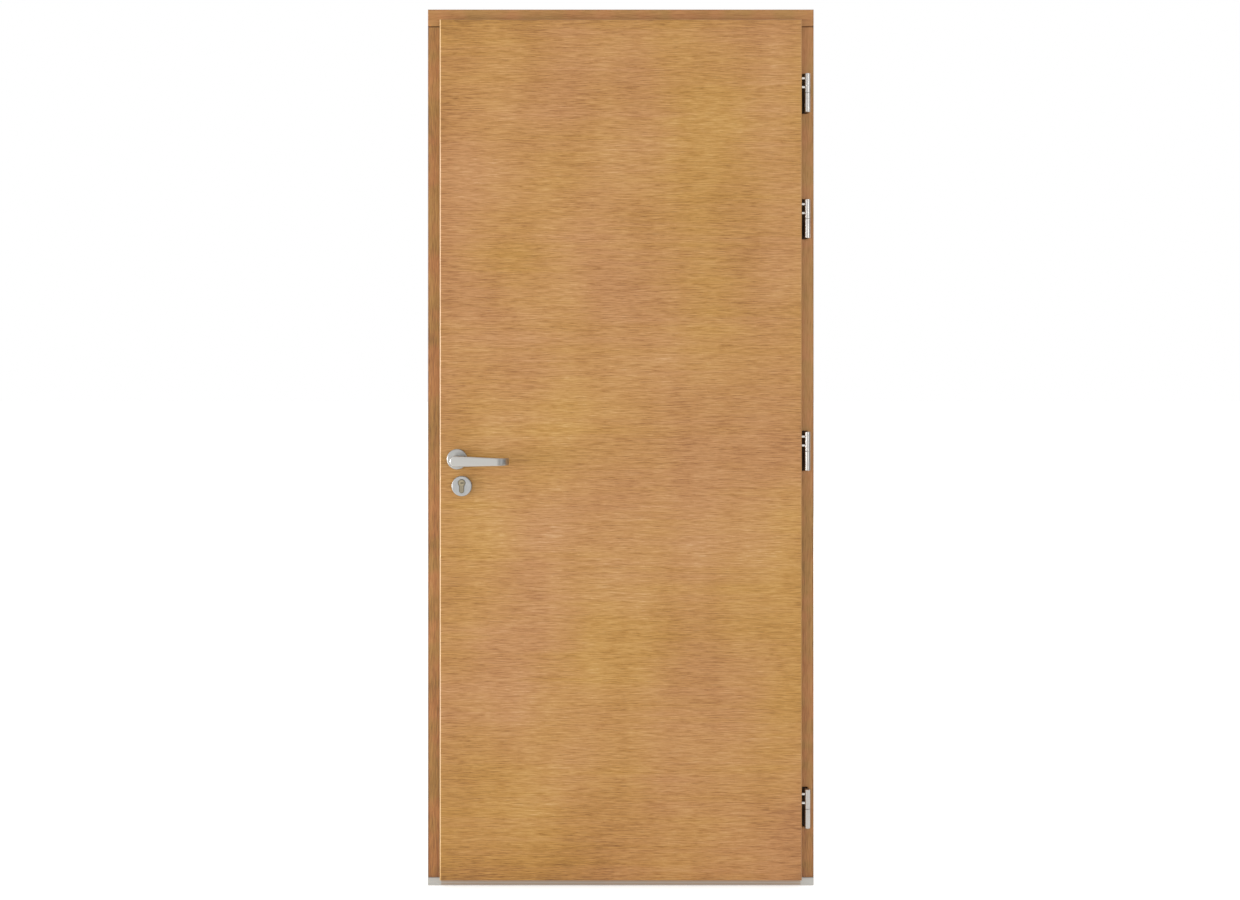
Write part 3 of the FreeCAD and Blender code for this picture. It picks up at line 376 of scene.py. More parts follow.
def make_materials():
    lever_axis = box_middle("lever_spindle")
    key_axis = box_middle("inner_key_rose")
    upright = math.radians(90)
    return {
        # Oak veneer laid across the leaf: short fine pores in a warm and nearly even tone, with
        # painted shade towards its edges and a painted highlight on its left arris.
        "face": oak("oak_veneer_lacquered", VENEER_YELLOW, VENEER_PINK, marks_and_painted_light=veneer_painted_light),
        # The same veneer outside, from another flitch, so its clouds fall elsewhere.
        "outer_face": oak("oak_veneer_outside", VENEER_YELLOW, VENEER_PINK, start=(3.1, 0, 1.7)),
        # Solid oak lipping: its grain runs up the edge, against that of the faces.
        "leaf_edge": oak("oak_edge_lipping", VENEER_YELLOW, VENEER_PINK, turn=upright,
                         start=(0.7, 0.3, 5.2)),
        # Solid oak jambs, stained darker than the leaf, in narrow red and olive bands.
        "lock_upright": oak("oak_lock_jamb_solid", FRAME_RED, FRAME_OLIVE, turn=upright,
                            cloud=40 * MM, bands=8 * MM, band_share=0.2, lift=-0.05,
                            marks_and_painted_light=frame_joint_and_shade),
        # The hinge jamb is lifted lighter than the lock jamb: painted light against the shade that
        # it lies in beside the leaf.
        "hinge_upright": oak("oak_hinge_jamb_solid", FRAME_RED, FRAME_OLIVE, turn=upright,
                             start=(0.0, 0.0, 3.3), cloud=40 * MM, bands=8 * MM,
                             band_share=0.2, lift=0.14, marks_and_painted_light=hinge_jamb_joint_and_shade),
        # The solid oak head, its grain along the opening, a little lighter than the jambs.
        "across": oak("oak_rail_solid", FRAME_RED, FRAME_OLIVE, start=(2.0, 0, 0.4), cloud=60 * MM,
                      bands=8 * MM, band_share=0.2, lift=0.14, marks_and_painted_light=frame_joint_and_shade),
        # Insulating cork board in the leaf's core: brown crumbs, quite dull.
        "core": speckled("cork_core_board", "#8C6A44", "#6B4D30", 1.4 * MM, 0.85, 0.2),
        # Satin stainless steel of the levers: pale grey, fine scratches along the grip.
        "lever": brushed_steel("stainless_brushed_lever", "#B7B5B1", "X", 0.34),
        # The hinges' steel is brushed upright and a little shinier: bright sides, grey middle.
        "hinge": brushed_steel("stainless_brushed_hinge", "#ABA8A4", "Z", 0.30),
        # Zinc-plated pins of the hinges: nearly white beside the steel knuckles, partly their
        # plating and partly a painted highlight.
        "pin": speckled("zinc_plated_pin_with_highlight", "#EDEBE6", "#F7F5F1", 0.7 * MM, 0.4, metallic=0.3),
        # Flat lock plates, bolts and screws: plain brushed steel.
        "edge_steel": brushed_steel("stainless_brushed_plate", "#BDBAB4", "Z", 0.36),
        # Roses faced on a lathe: cooler grey than the levers, with faint rings.
        "rose": turned_steel("stainless_turned_lever_rose", "#ABAAA7", lever_axis, 0.38),
        "key_rose": turned_steel("stainless_turned_key_rose", "#A9A9A8", key_axis, 0.38),
        # The lock cylinder is nickel on brass, so it looks olive grey beside the steel rose.
        "cylinder": brushed_steel("nickel_brushed_cylinder", "#8E8572", "Z", 0.38),
        # The plug that the key turns is paler and warmer than its cylinder.
        "plug": turned_steel("nickel_plug", "#A0957D", box_middle("inner_key_plug"), 0.3),
        # Anodised aluminium of the threshold: light, matt and even, with painted shade and a
        # painted warm reflection of the oak under the leaf.
        "aluminium": speckled("anodised_aluminium_threshold", "#B3B1AC", "#BEBCB7", 0.9 * MM, 0.5,
                              metallic=0.55, painted_shade=("#A08468", sill_painted_shade)),
        # Blackened plates in the hinge pockets, their near-black brown partly the oxide and partly
        # painted shade, so that the pockets look deep.
        "pocket_plate": speckled("black_oxide_steel_and_shade", "#2A1A0C", "#38230F", 0.8 * MM, 0.5,
                                 metallic=0.6),
        # Dark polyamide that parts the threshold's warm side from its cold side.
        "break": speckled("polyamide_break", "#3B3A38", "#2E2D2B", 0.6 * MM, 0.6),
        # Dark polyamide base of the roses, seen only in gaps, partly its own colour and partly
        # painted shade; it also darkens the depth of the keyways as painted shade.
        "dark_base_and_shade": speckled("polyamide_base_and_shade", "#2A2927", "#201F1D", 0.6 * MM, 0.6),
        # Soft black rubber of the seals: dull, with no bright edge.
        "rubber": speckled("rubber_seal", "#201F1E", "#2B2A29", 0.5 * MM, 0.7),
    }


def finish_nodes(nodes, materials):
    """Gives every CAD node its finish through its material slots."""
    finishes = {
        "inner_face_board": "face", "outer_face_board": "outer_face",
        "hinge_stile": "leaf_edge", "lock_stile": "leaf_edge", "top_rail": "leaf_edge",
        "bottom_rail": "leaf_edge", "leaf_core": "core",
        "lock_jamb": "lock_upright", "lock_stop": "lock_upright",
        "hinge_jamb": "hinge_upright", "hinge_stop": "hinge_upright",
        "head_rail": "across", "head_stop": "across",
        "lock_seal": "rubber", "hinge_seal": "rubber", "head_seal": "rubber",
        "bottom_seal": "rubber", "threshold_inner": "aluminium",
        "threshold_outer": "aluminium", "threshold_break": "break",
        "strike_plate": "edge_steel", "lock_faceplate": "edge_steel",
        "latch_bolt": "edge_steel", "dead_bolt": "edge_steel", "lever_spindle": "edge_steel",
        "inner_lever": "lever", "outer_lever": "lever",
        "inner_lever_rose": "rose", "outer_lever_rose": "edge_steel",
        "inner_key_rose": "key_rose", "outer_key_rose": "key_rose",
        "lock_cylinder": "cylinder", "inner_key_plug": "plug", "outer_key_plug": "plug",
    }
    for name, node in nodes.items():
        if name.endswith("_knuckle"):
            finish = "hinge"
        elif name.endswith("_frame_plate"):
            finish = "pocket_plate"
        else:
            finish = finishes[name]
        for slot in node.material_slots:
            slot.material = materials[finish]


# Turned and rounded furniture

def keep(name, shape, material, body, slot, *nodes):
    """Turns a closed bmesh into a piece that rides on a body and stands for CAD nodes."""
    bmesh.ops.recalc_face_normals(shape, faces=shape.faces)
    for face in shape.faces:
        face.smooth = True
    for edge in shape.edges:
        edge.smooth = edge.calc_face_angle(0.0) < SHARP_ANGLE
    mesh = bpy.data.meshes.new(name)
    shape.to_mesh(mesh)
    shape.free()
    mesh.materials.append(material)
    piece = bpy.data.objects.new(name, mesh)
    bpy.context.scene.collection.objects.link(piece)
    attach(piece, body)
    if nodes:
        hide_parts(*nodes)
    return piece


def bridge(shape, rings, finish=0):
    """Quads between neighbouring rings of as many points, in one of the piece's finishes."""
    for near, far in zip(rings, rings[1:]):
        for i in range(len(near)):
            j = (i + 1) % len(near)
            face = shape.faces.new((near[i], near[j], far[j], far[i]))
            face.material_index = finish


def rounding(edge):
    """Pairs of how far a rounded edge is drawn in and how far it has sunk from the top."""
    turns = [math.pi / 2 * step / 6 for step in range(7)]
    return [(edge * (1 - math.cos(turn)), edge * (1 - math.sin(turn))) for turn in turns]


def arc(centre, radius, start, sweep, steps):
    """Points along an arc, with both its ends."""
    turns = [start + sweep * i / steps for i in range(steps + 1)]
    return [(centre[0] + radius * math.cos(t), centre[1] + radius * math.sin(t)) for t in turns]


def circle_outline(centre, radius, count=96):
    return arc(centre, radius, 0.0, 2 * math.pi, count)[:-1]


def upright_outline(centre, width, height):
    """An upright outline with half-round ends, counterclockwise from its lower left."""
    radius = width / 2
    reach = height / 2 - radius
    return (arc((centre[0], centre[1] - reach), radius, -math.pi, math.pi, 24)
            + arc((centre[0], centre[1] + reach), radius, 0.0, math.pi, 24))


def cylinder_outline(low, high, gap):
    """The keyhole-shaped profile of a lock cylinder that fills a box, with a gap round it."""
    middle = (low.x + high.x) / 2
    barrel, tail = CYLINDER_RADIUS + gap, CYLINDER_TAIL / 2 + gap
    centre = high.z - CYLINDER_RADIUS
    meet = math.acos(tail / barrel)
    return (arc((middle, centre), barrel, -meet, math.pi + 2 * meet, 48)
            + arc((middle, low.z - gap + tail), tail, math.pi, math.pi, 16))


def drawn_in(outline, amount):
    """A counterclockwise outline moved inwards, each corner along the middle of its angle."""
    moved = []
    for before, here, after in zip([outline[-1], *outline], outline, [*outline[1:], outline[0]]):
        first = Vector((before[1] - here[1], here[0] - before[0])).normalized()
        second = Vector((here[1] - after[1], after[0] - here[0])).normalized()
        middle = (first + second).normalized()
        reach = amount / max(middle.dot(first), 0.5)
        moved.append((here[0] + middle.x * reach, here[1] + middle.y * reach))
    return moved


def rose_cover(name, outline, hole, node, outward, material, base_and_shade_material):
    """A steel cover with a rounded rim over a dark base that shows in the depth of its hole,
    partly as painted shade.
    """
    low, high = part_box(node)
    base = low.y if outward > 0 else high.y
    thickness = high.y - low.y
    steps = [(0.0, 0.0), (thickness - ROSE_EDGE, 0.0)]
    steps += [(thickness - sunk, inwards) for inwards, sunk in rounding(ROSE_EDGE)]
    steps.append((thickness, ROSE_EDGE + EDGE_LAND))
    shape = bmesh.new()
    rings = []
    for depth, inwards in steps:
        points = drawn_in(outline, inwards) if inwards else outline
        rings.append([shape.verts.new((x, base + outward * depth, z)) for x, z in points])
    bridge(shape, rings)
    wall = [[shape.verts.new((x, base + outward * depth, z)) for x, z in hole]
            for depth in (0.0, thickness - COVER_SHEET, thickness)]
    # The lower part of the hole's wall is the dark base, partly painted shade.
    bridge(shape, wall[:2], 1)
    bridge(shape, wall[1:])
    for loops in ((rings[0], wall[0]), (rings[-1], wall[-1])):
        edges = [shape.edges.get((loop[i - 1], loop[i])) for loop in loops
                 for i in range(len(loop))]
        bmesh.ops.triangle_fill(shape, use_beauty=True, use_dissolve=False, edges=edges)
    cover = keep(name, shape, material, "leaf", "lever_steel", node)
    cover.data.materials.append(base_and_shade_material)


def touching_angle(centre, radius, point, side):
    """Where a line from a point touches the heel's circle, on its upper side or its lower."""
    away = math.hypot(point[0], point[1] - centre)
    return math.atan2(point[1] - centre, point[0]) + side * math.acos(radius / away)


def straight_height(along, points):
    """The height of a run of straight lines at a distance along the lever."""
    for (x1, z1), (x2, z2) in zip(points, points[1:]):
        if along <= x2:
            return z1 + (z2 - z1) * (along - x1) / (x2 - x1)
    return points[-1][1]


def lever_outline(heel, heel_centre):
    """The flat outline before the end is bent: upper and lower points in matched pairs."""
    start = LEVER_REACH - LEVER_THICKNESS / 2 - LEVER_BEND
    end = start + LEVER_BEND * math.pi / 2 + LEVER_TAIL
    sides = []
    for side, waist, tip in ((1, WAIST_TOP, TIP_TOP), (-1, WAIST_FOOT, TIP_FOOT)):
        touch = touching_angle(heel_centre, heel, (LEVER_WAIST, waist), side)
        points = arc((0.0, heel_centre), heel, side * math.pi, touch - side * math.pi, 24)
        straight = [points[-1], (LEVER_WAIST, waist), (LEVER_REACH, tip)]
        stations = [start * i / 16 for i in range(3, 17)]
        stations += [start + (end - LEVER_CORNER - start) * i / 14 for i in range(1, 15)]
        for place in stations:
            turn = min(max((place - start) / LEVER_BEND, 0.0), math.pi / 2)
            along = min(place, start) + LEVER_BEND * math.sin(turn)
            points.append((place, straight_height(along, straight)))
        level = points[-1][1]
        for i in range(1, 7):
            turn = math.pi / 2 * i / 6
            points.append((end - LEVER_CORNER * (1 - math.sin(turn)),
                           level - side * LEVER_CORNER * (1 - math.cos(turn))))
        sides.append(points)
    return sides, start


def lever_bar(name, node, axis, outward, heel, heel_centre, material):
    """A flat bar with soft edges: round heel, slight waist, and its end bent to the door."""
    low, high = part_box(node)
    face = high.y if outward < 0 else low.y
    middle = (high.y - low.y) - LEVER_THICKNESS / 2
    (upper, lower), start = lever_outline(heel, heel_centre)
    outline = upper[::-1] + lower[1:]
    half = LEVER_THICKNESS / 2
    layers = [(half, LEVER_EDGE + EDGE_LAND)]
    layers += [(half - sunk, inwards) for inwards, sunk in reversed(rounding(LEVER_EDGE))]
    layers += [(-depth, inwards) for depth, inwards in reversed(layers)]
    shape = bmesh.new()
    rings = []
    for depth, inwards in layers:
        ring = []
        for along, height in drawn_in(outline, inwards) if inwards else outline:
            turn = min(max((along - start) / LEVER_BEND, 0.0), math.pi / 2)
            tail = max(along - start - LEVER_BEND * math.pi / 2, 0.0)
            radius = LEVER_BEND + depth
            x = min(along, start) + radius * math.sin(turn)
            away = middle - LEVER_BEND + radius * math.cos(turn) - tail
            ring.append(shape.verts.new((axis[0] + x, face + outward * away, axis[1] + height)))
        rings.append(ring)
    bridge(shape, rings)
    heel_place = len(upper) - 1
    for ring in (rings[0], rings[-1]):
        for i in range(heel_place - 1):
            near, far = heel_place - i, heel_place + i
            shape.faces.new((ring[near], ring[near - 1], ring[far + 1], ring[far])
                            if i else (ring[near], ring[near - 1], ring[far + 1]))
        shape.faces.new((ring[1], ring[0], ring[-1], ring[-2]))
    return keep(name, shape, material, "lever_set", "lever_steel", node)


def lever_neck(name, centre, radius, base, outward, length, material):
    """The lever's turned neck, with a fine groove by the rose and a small flare at the bar.

    Each pair of its profile is a radius and a height above the leaf's face.
    """
    profile = [(radius - 1.0 * MM, 0.5 * MM), (radius, 1.2 * MM), (radius, 10.6 * MM),
               (radius - 0.5 * MM, 11.0 * MM), (radius - 0.5 * MM, 11.8 * MM),
               (radius, 12.2 * MM)]
    flare = length - 9 * MM
    for i in range(7):
        turn = math.pi / 2 * i / 6
        profile.append((radius + 1.2 * MM * (1 - math.cos(turn)),
                        flare + 4 * MM * math.sin(turn)))
    profile.append((radius - 2 * MM, flare + 5 * MM))
    shape = bmesh.new()
    rings = []
    for width, height in profile:
        points = circle_outline(centre, width, 64)
        rings.append([shape.verts.new((x, base + outward * height, z)) for x, z in points])
    bridge(shape, rings)
    shape.faces.new(rings[0])
    shape.faces.new(rings[-1])
    keep(name, shape, material, "lever_set", "lever_steel")


def lock_pins(side, outward, material):
    """The row of pins down in the keyway of a key plug, dark as painted shade of the keyway's
    depth.
    """
    low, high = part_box(side + "_key_plug")
    front = low.y if outward < 0 else high.y
    middle = ((low.x + high.x) / 2 + KEYWAY_SHIFT,
              front - outward * (LOCK_PIN_SINK + LOCK_PIN_LENGTH / 2), (low.z + high.z) / 2)
    sizes = (KEYWAY_WIDTH - 0.4 * MM, LOCK_PIN_LENGTH, KEYWAY_HEIGHT - 0.3 * MM)
    shape = bmesh.new()
    place = Matrix.LocRotScale(Vector(middle), None, Vector(sizes))
    bmesh.ops.create_cube(shape, size=1.0, matrix=place)
    keep(side + "_lock_pins", shape, material, "leaf", "key_plug")


def furniture(materials):
    """Levers, necks and roses, finely rounded, in the places of their CAD nodes."""
    steel, rose_steel, key_steel = (materials[key] for key in ("lever", "rose", "key_rose"))
    lever_axis = box_middle("lever_spindle")
    key_axis = box_middle("inner_key_rose")
    sides = (("inner", -1, HEEL_RADIUS, HEEL_RADIUS + WAIST_FOOT, NECK_RADIUS),
             ("outer", 1, OUTER_NECK_RADIUS, 0.0, OUTER_NECK_RADIUS))
    for side, outward, heel, heel_centre, neck in sides:
        node = side + "_lever"
        low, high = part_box(node)
        base = high.y if outward < 0 else low.y
        lever_bar(side + "_lever_bar", node, lever_axis, outward, heel, heel_centre, steel)
        lever_neck(side + "_lever_neck", lever_axis, neck, base, outward, high.y - low.y, steel)
        hole = circle_outline(lever_axis, neck + RUNNING_GAP, 64)
        low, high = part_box(side + "_lever_rose")
        if side == "inner":
            outline = circle_outline(lever_axis, (high.x - low.x) / 2)
        else:
            outline = upright_outline(lever_axis, high.x - low.x, high.z - low.z)
        rose_cover(side + "_lever_cover", outline, hole, side + "_lever_rose", outward,
                   rose_steel if side == "inner" else materials["edge_steel"],
                   materials["dark_base_and_shade"])
        low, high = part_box(side + "_key_rose")
        rose_cover(side + "_key_cover", circle_outline(key_axis, (high.x - low.x) / 2),
                   cylinder_outline(*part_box("lock_cylinder"), KEY_GAP),
                   side + "_key_rose", outward, key_steel, materials["dark_base_and_shade"])
        lock_pins(side, outward, materials["dark_base_and_shade"])


# Hinge halves and screws, grown by Geometry Nodes

def new_tree(name, inputs):
    """A Geometry Nodes tree with named inputs, and the sockets that give them."""
    tree = bpy.data.node_groups.new(name, "GeometryNodeTree")
    tree.interface.new_socket("Geometry", in_out="OUTPUT", socket_type="NodeSocketGeometry")
    tree.interface.new_socket("Geometry", in_out="INPUT", socket_type="NodeSocketGeometry")
    for label, kind in inputs.items():
        tree.interface.new_socket(label, in_out="INPUT", socket_type="NodeSocket" + kind)
    return tree, add(tree, "NodeGroupInput").outputs


def coated_copies(tree, given, parts, finish):
    """Sets a copy of some parts on every point, as plain faces in the finish of that name."""
    whole = add(tree, "GeometryNodeJoinGeometry", {0: parts})
    angle = add(tree, "GeometryNodeInputMeshEdgeAngle")
    soft = add(tree, "FunctionNodeCompare", {
        0: angle, 1: SHARP_ANGLE}, data_type="FLOAT", operation="LESS_THAN")
    shaded = add(tree, "GeometryNodeSetShadeSmooth", {
        "Geometry": whole, "Shade Smooth": soft}, domain="EDGE")
    copies = add(tree, "GeometryNodeInstanceOnPoints", {
        "Points": given["Geometry"], "Instance": shaded, "Rotation": given["Turn"]})
    spin = add(tree, "FunctionNodeRandomValue", {
        2: 0.0, 3: given["Spin"], "Seed": given["Seed"]}, data_type="FLOAT")
    about_z = add(tree, "ShaderNodeCombineXYZ", {"Z": spin.outputs[1]})
    spun = add(tree, "GeometryNodeRotateInstances", {"Instances": copies, "Rotation": about_z})
    plain = add(tree, "GeometryNodeRealizeInstances", {0: spun})
    return add(tree, "GeometryNodeSetMaterial", {"Geometry": plain, "Material": given[finish]})


def grow(name, tree, points, sizes, body, slot, *nodes):
    """Runs a tree on points and keeps its result as one plain mesh that rides on a body.

    The inputs are set by identifier, before the piece is first worked out.
    """
    mesh = bpy.data.meshes.new(name + "_points")
    mesh.from_pydata(points, [], [])
    piece = bpy.data.objects.new(name, mesh)
    bpy.context.scene.collection.objects.link(piece)
    modifier = piece.modifiers.new("grow", "NODES")
    modifier.node_group = tree
    for item in tree.interface.items_tree:
        if item.in_out == "INPUT" and item.name in sizes:
            modifier[item.identifier] = sizes[item.name]
    layer = bpy.context.evaluated_depsgraph_get()
    grown = bpy.data.meshes.new_from_object(piece.evaluated_get(layer))
    piece.modifiers.clear()
    piece.data = grown
    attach(piece, body)
    if nodes:
        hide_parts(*nodes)
    return piece


SCREW_INPUTS = {
    "Turn": "Vector", "Spin": "Float", "Seed": "Int", "Material": "Material",
    "Head Radius": "Float", "Head Height": "Float", "Slot Length": "Float",
    "Slot Width": "Float", "Socket Radius": "Float", "Recess Depth": "Float"}
KNUCKLE_INPUTS = {
    "Turn": "Vector", "Spin": "Float", "Seed": "Int", "Material": "Material",
    "Radius": "Float", "Length": "Float", "Edge": "Float", "Seam": "Float"}


def screw_tree():
    """A domed screw head with a cross recess or a hexagonal socket, looking along its own Z."""
    tree, given = new_tree("screw_heads", SCREW_INPUTS)
    ball = add(tree, "GeometryNodeMeshUVSphere", {"Segments": 28, "Rings": 14, "Radius": 1.0})
    head_size = add(tree, "ShaderNodeCombineXYZ", {
        "X": given["Head Radius"], "Y": given["Head Radius"], "Z": given["Head Height"]})
    dome = add(tree, "GeometryNodeTransform", {"Geometry": ball, "Scale": head_size})
    depth = add(tree, "ShaderNodeMath", {0: given["Recess Depth"], 1: 2.0}, operation="MULTIPLY")
    bar_size = add(tree, "ShaderNodeCombineXYZ", {
        "X": given["Slot Length"], "Y": given["Slot Width"], "Z": depth})
    bar = add(tree, "GeometryNodeMeshCube", {"Size": bar_size})
    socket = add(tree, "GeometryNodeMeshCylinder", {
        "Vertices": 6, "Radius": given["Socket Radius"], "Depth": depth})
    top = add(tree, "ShaderNodeCombineXYZ", {"Z": given["Head Height"]})
    cutters = []
    for shape, turn in ((bar, 0.0), (bar, math.pi / 2), (socket, 0.0)):
        cutters.append(add(tree, "GeometryNodeTransform", {
            "Geometry": shape, "Translation": top, "Rotation": (0.0, 0.0, turn)}))
    head = add(tree, "GeometryNodeMeshBoolean", {
        "Mesh 1": dome, "Mesh 2": cutters}, operation="DIFFERENCE", solver="EXACT")
    coated = coated_copies(tree, given, [head], "Material")
    add(tree, "NodeGroupOutput", {"Geometry": coated})
    return tree


def barrel(tree, given, side):
    """A knuckle above (side 1) or below (side -1) the seam, with both its ends eased."""
    radius, edge, length = given["Radius"], given["Edge"], given["Length"]
    small = add(tree, "ShaderNodeMath", {0: radius, 1: edge}, operation="SUBTRACT")
    body = add(tree, "ShaderNodeMath", {0: edge, 1: -2.0, 2: length}, operation="MULTIPLY_ADD")
    seam = add(tree, "ShaderNodeMath", {0: given["Seam"], 1: 0.5}, operation="MULTIPLY")
    middle = add(tree, "ShaderNodeMath", {0: length, 1: 0.5, 2: seam}, operation="MULTIPLY_ADD")
    near = add(tree, "ShaderNodeMath", {0: seam, 1: edge}, operation="ADD")
    far = add(tree, "ShaderNodeMath", {0: near, 1: body}, operation="ADD")
    wall = add(tree, "GeometryNodeMeshCylinder", {
        "Vertices": 64, "Radius": radius, "Depth": body})
    eased = add(tree, "GeometryNodeMeshCone", {
        "Vertices": 64, "Radius Top": small, "Radius Bottom": radius, "Depth": edge})
    upper_tilt, lower_tilt = (0.0, math.pi) if side > 0 else (math.pi, 0.0)
    parts = []
    for shape, place, tilt in (
            (wall, middle, 0.0), (eased, near, lower_tilt), (eased, far, upper_tilt)):
        height = add(tree, "ShaderNodeMath", {0: place, 1: side}, operation="MULTIPLY")
        centre = add(tree, "ShaderNodeCombineXYZ", {"Z": height})
        parts.append(add(tree, "GeometryNodeTransform", {
            "Geometry": shape, "Translation": centre, "Rotation": (tilt, 0.0, 0.0)}))
    return parts


def leaf_half_tree():
    """The upper half of a pin hinge: its knuckle and the two pins that enter the leaf."""
    tree, given = new_tree("leaf_hinge_halves", {
        **KNUCKLE_INPUTS, "Pin Radius": "Float", "Pin Start": "Float", "Pin Near": "Float",
        "Pin Far": "Float", "Pin Material": "Material"})
    pin = add(tree, "GeometryNodeMeshCylinder", {
        "Vertices": 32, "Radius": given["Pin Radius"], "Depth": given["Pin Start"]})
    across = add(tree, "ShaderNodeMath", {0: given["Pin Start"], 1: -0.5}, operation="MULTIPLY")
    top = add(tree, "ShaderNodeMath", {
        0: given["Seam"], 1: 0.5, 2: given["Length"]}, operation="MULTIPLY_ADD")
    pins = []
    for drop in ("Pin Near", "Pin Far"):
        height = add(tree, "ShaderNodeMath", {0: top, 1: given[drop]}, operation="SUBTRACT")
        middle = add(tree, "ShaderNodeCombineXYZ", {"X": across, "Z": height})
        pins.append(add(tree, "GeometryNodeTransform", {
            "Geometry": pin, "Translation": middle, "Rotation": (0.0, math.pi / 2, 0.0)}))
    whole = add(tree, "GeometryNodeJoinGeometry", {0: [
        coated_copies(tree, given, barrel(tree, given, 1.0), "Material"),
        coated_copies(tree, given, pins, "Pin Material")]})
    add(tree, "NodeGroupOutput", {"Geometry": whole})
    return tree


def frame_half_tree():
    """The lower half of a pin hinge: its knuckle and the lug that stands on the pocket's plate."""
    tree, given = new_tree("frame_hinge_halves", {
        **KNUCKLE_INPUTS, "Lug Width": "Float", "Lug Depth": "Float", "Lug Height": "Float",
        "Lug Rise": "Float"})
    size = add(tree, "ShaderNodeCombineXYZ", {
        "X": given["Lug Width"], "Y": given["Lug Depth"], "Z": given["Lug Height"]})
    lug = add(tree, "GeometryNodeMeshCube", {"Size": size})
    back = add(tree, "ShaderNodeMath", {0: given["Lug Depth"], 1: 0.5}, operation="MULTIPLY")
    foot = add(tree, "ShaderNodeMath", {
        0: given["Seam"], 1: 0.5, 2: given["Length"]}, operation="MULTIPLY_ADD")
    rise = add(tree, "ShaderNodeMath", {
        0: given["Lug Height"], 1: 0.5, 2: given["Lug Rise"]}, operation="MULTIPLY_ADD")
    height = add(tree, "ShaderNodeMath", {0: rise, 1: foot}, operation="SUBTRACT")
    place = add(tree, "ShaderNodeCombineXYZ", {"Y": back, "Z": height})
    standing = add(tree, "GeometryNodeTransform", {"Geometry": lug, "Translation": place})
    coated = coated_copies(tree, given, [*barrel(tree, given, -1.0), standing], "Material")
    add(tree, "NodeGroupOutput", {"Geometry": coated})
    return tree


def hinges(materials):
    low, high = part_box("hinge_1_leaf_knuckle")
    pivot = (high.x - KNUCKLE_RADIUS, (low.y + high.y) / 2)
    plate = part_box("hinge_1_frame_plate")[0].y
    middles = [(*pivot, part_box(f"hinge_{number}_leaf_knuckle")[0].z - KNUCKLE_SEAM / 2)
               for number in HINGES]
    shared = {"Radius": KNUCKLE_RADIUS, "Length": KNUCKLE_LENGTH, "Edge": KNUCKLE_EDGE,
              "Seam": KNUCKLE_SEAM, "Spin": 0.0, "Seed": 1, "Material": materials["hinge"]}
    grow("leaf_hinge_halves", leaf_half_tree(), middles, {
        **shared, "Pin Radius": HINGE_PIN_RADIUS, "Pin Start": pivot[0] - low.x,
        "Pin Near": HINGE_PIN_NEAR, "Pin Far": HINGE_PIN_FAR,
        "Pin Material": materials["pin"]}, "leaf", "hinge_steel",
        *[f"hinge_{number}_leaf_knuckle" for number in HINGES])
    grow("frame_hinge_halves", frame_half_tree(), middles, {
        **shared, "Lug Width": HINGE_LUG_WIDTH, "Lug Depth": plate - pivot[1],
        "Lug Height": HINGE_LUG_HEIGHT, "Lug Rise": HINGE_LUG_RISE}, "frame", "hinge_steel",
        *[f"hinge_{number}_frame_knuckle" for number in HINGES])


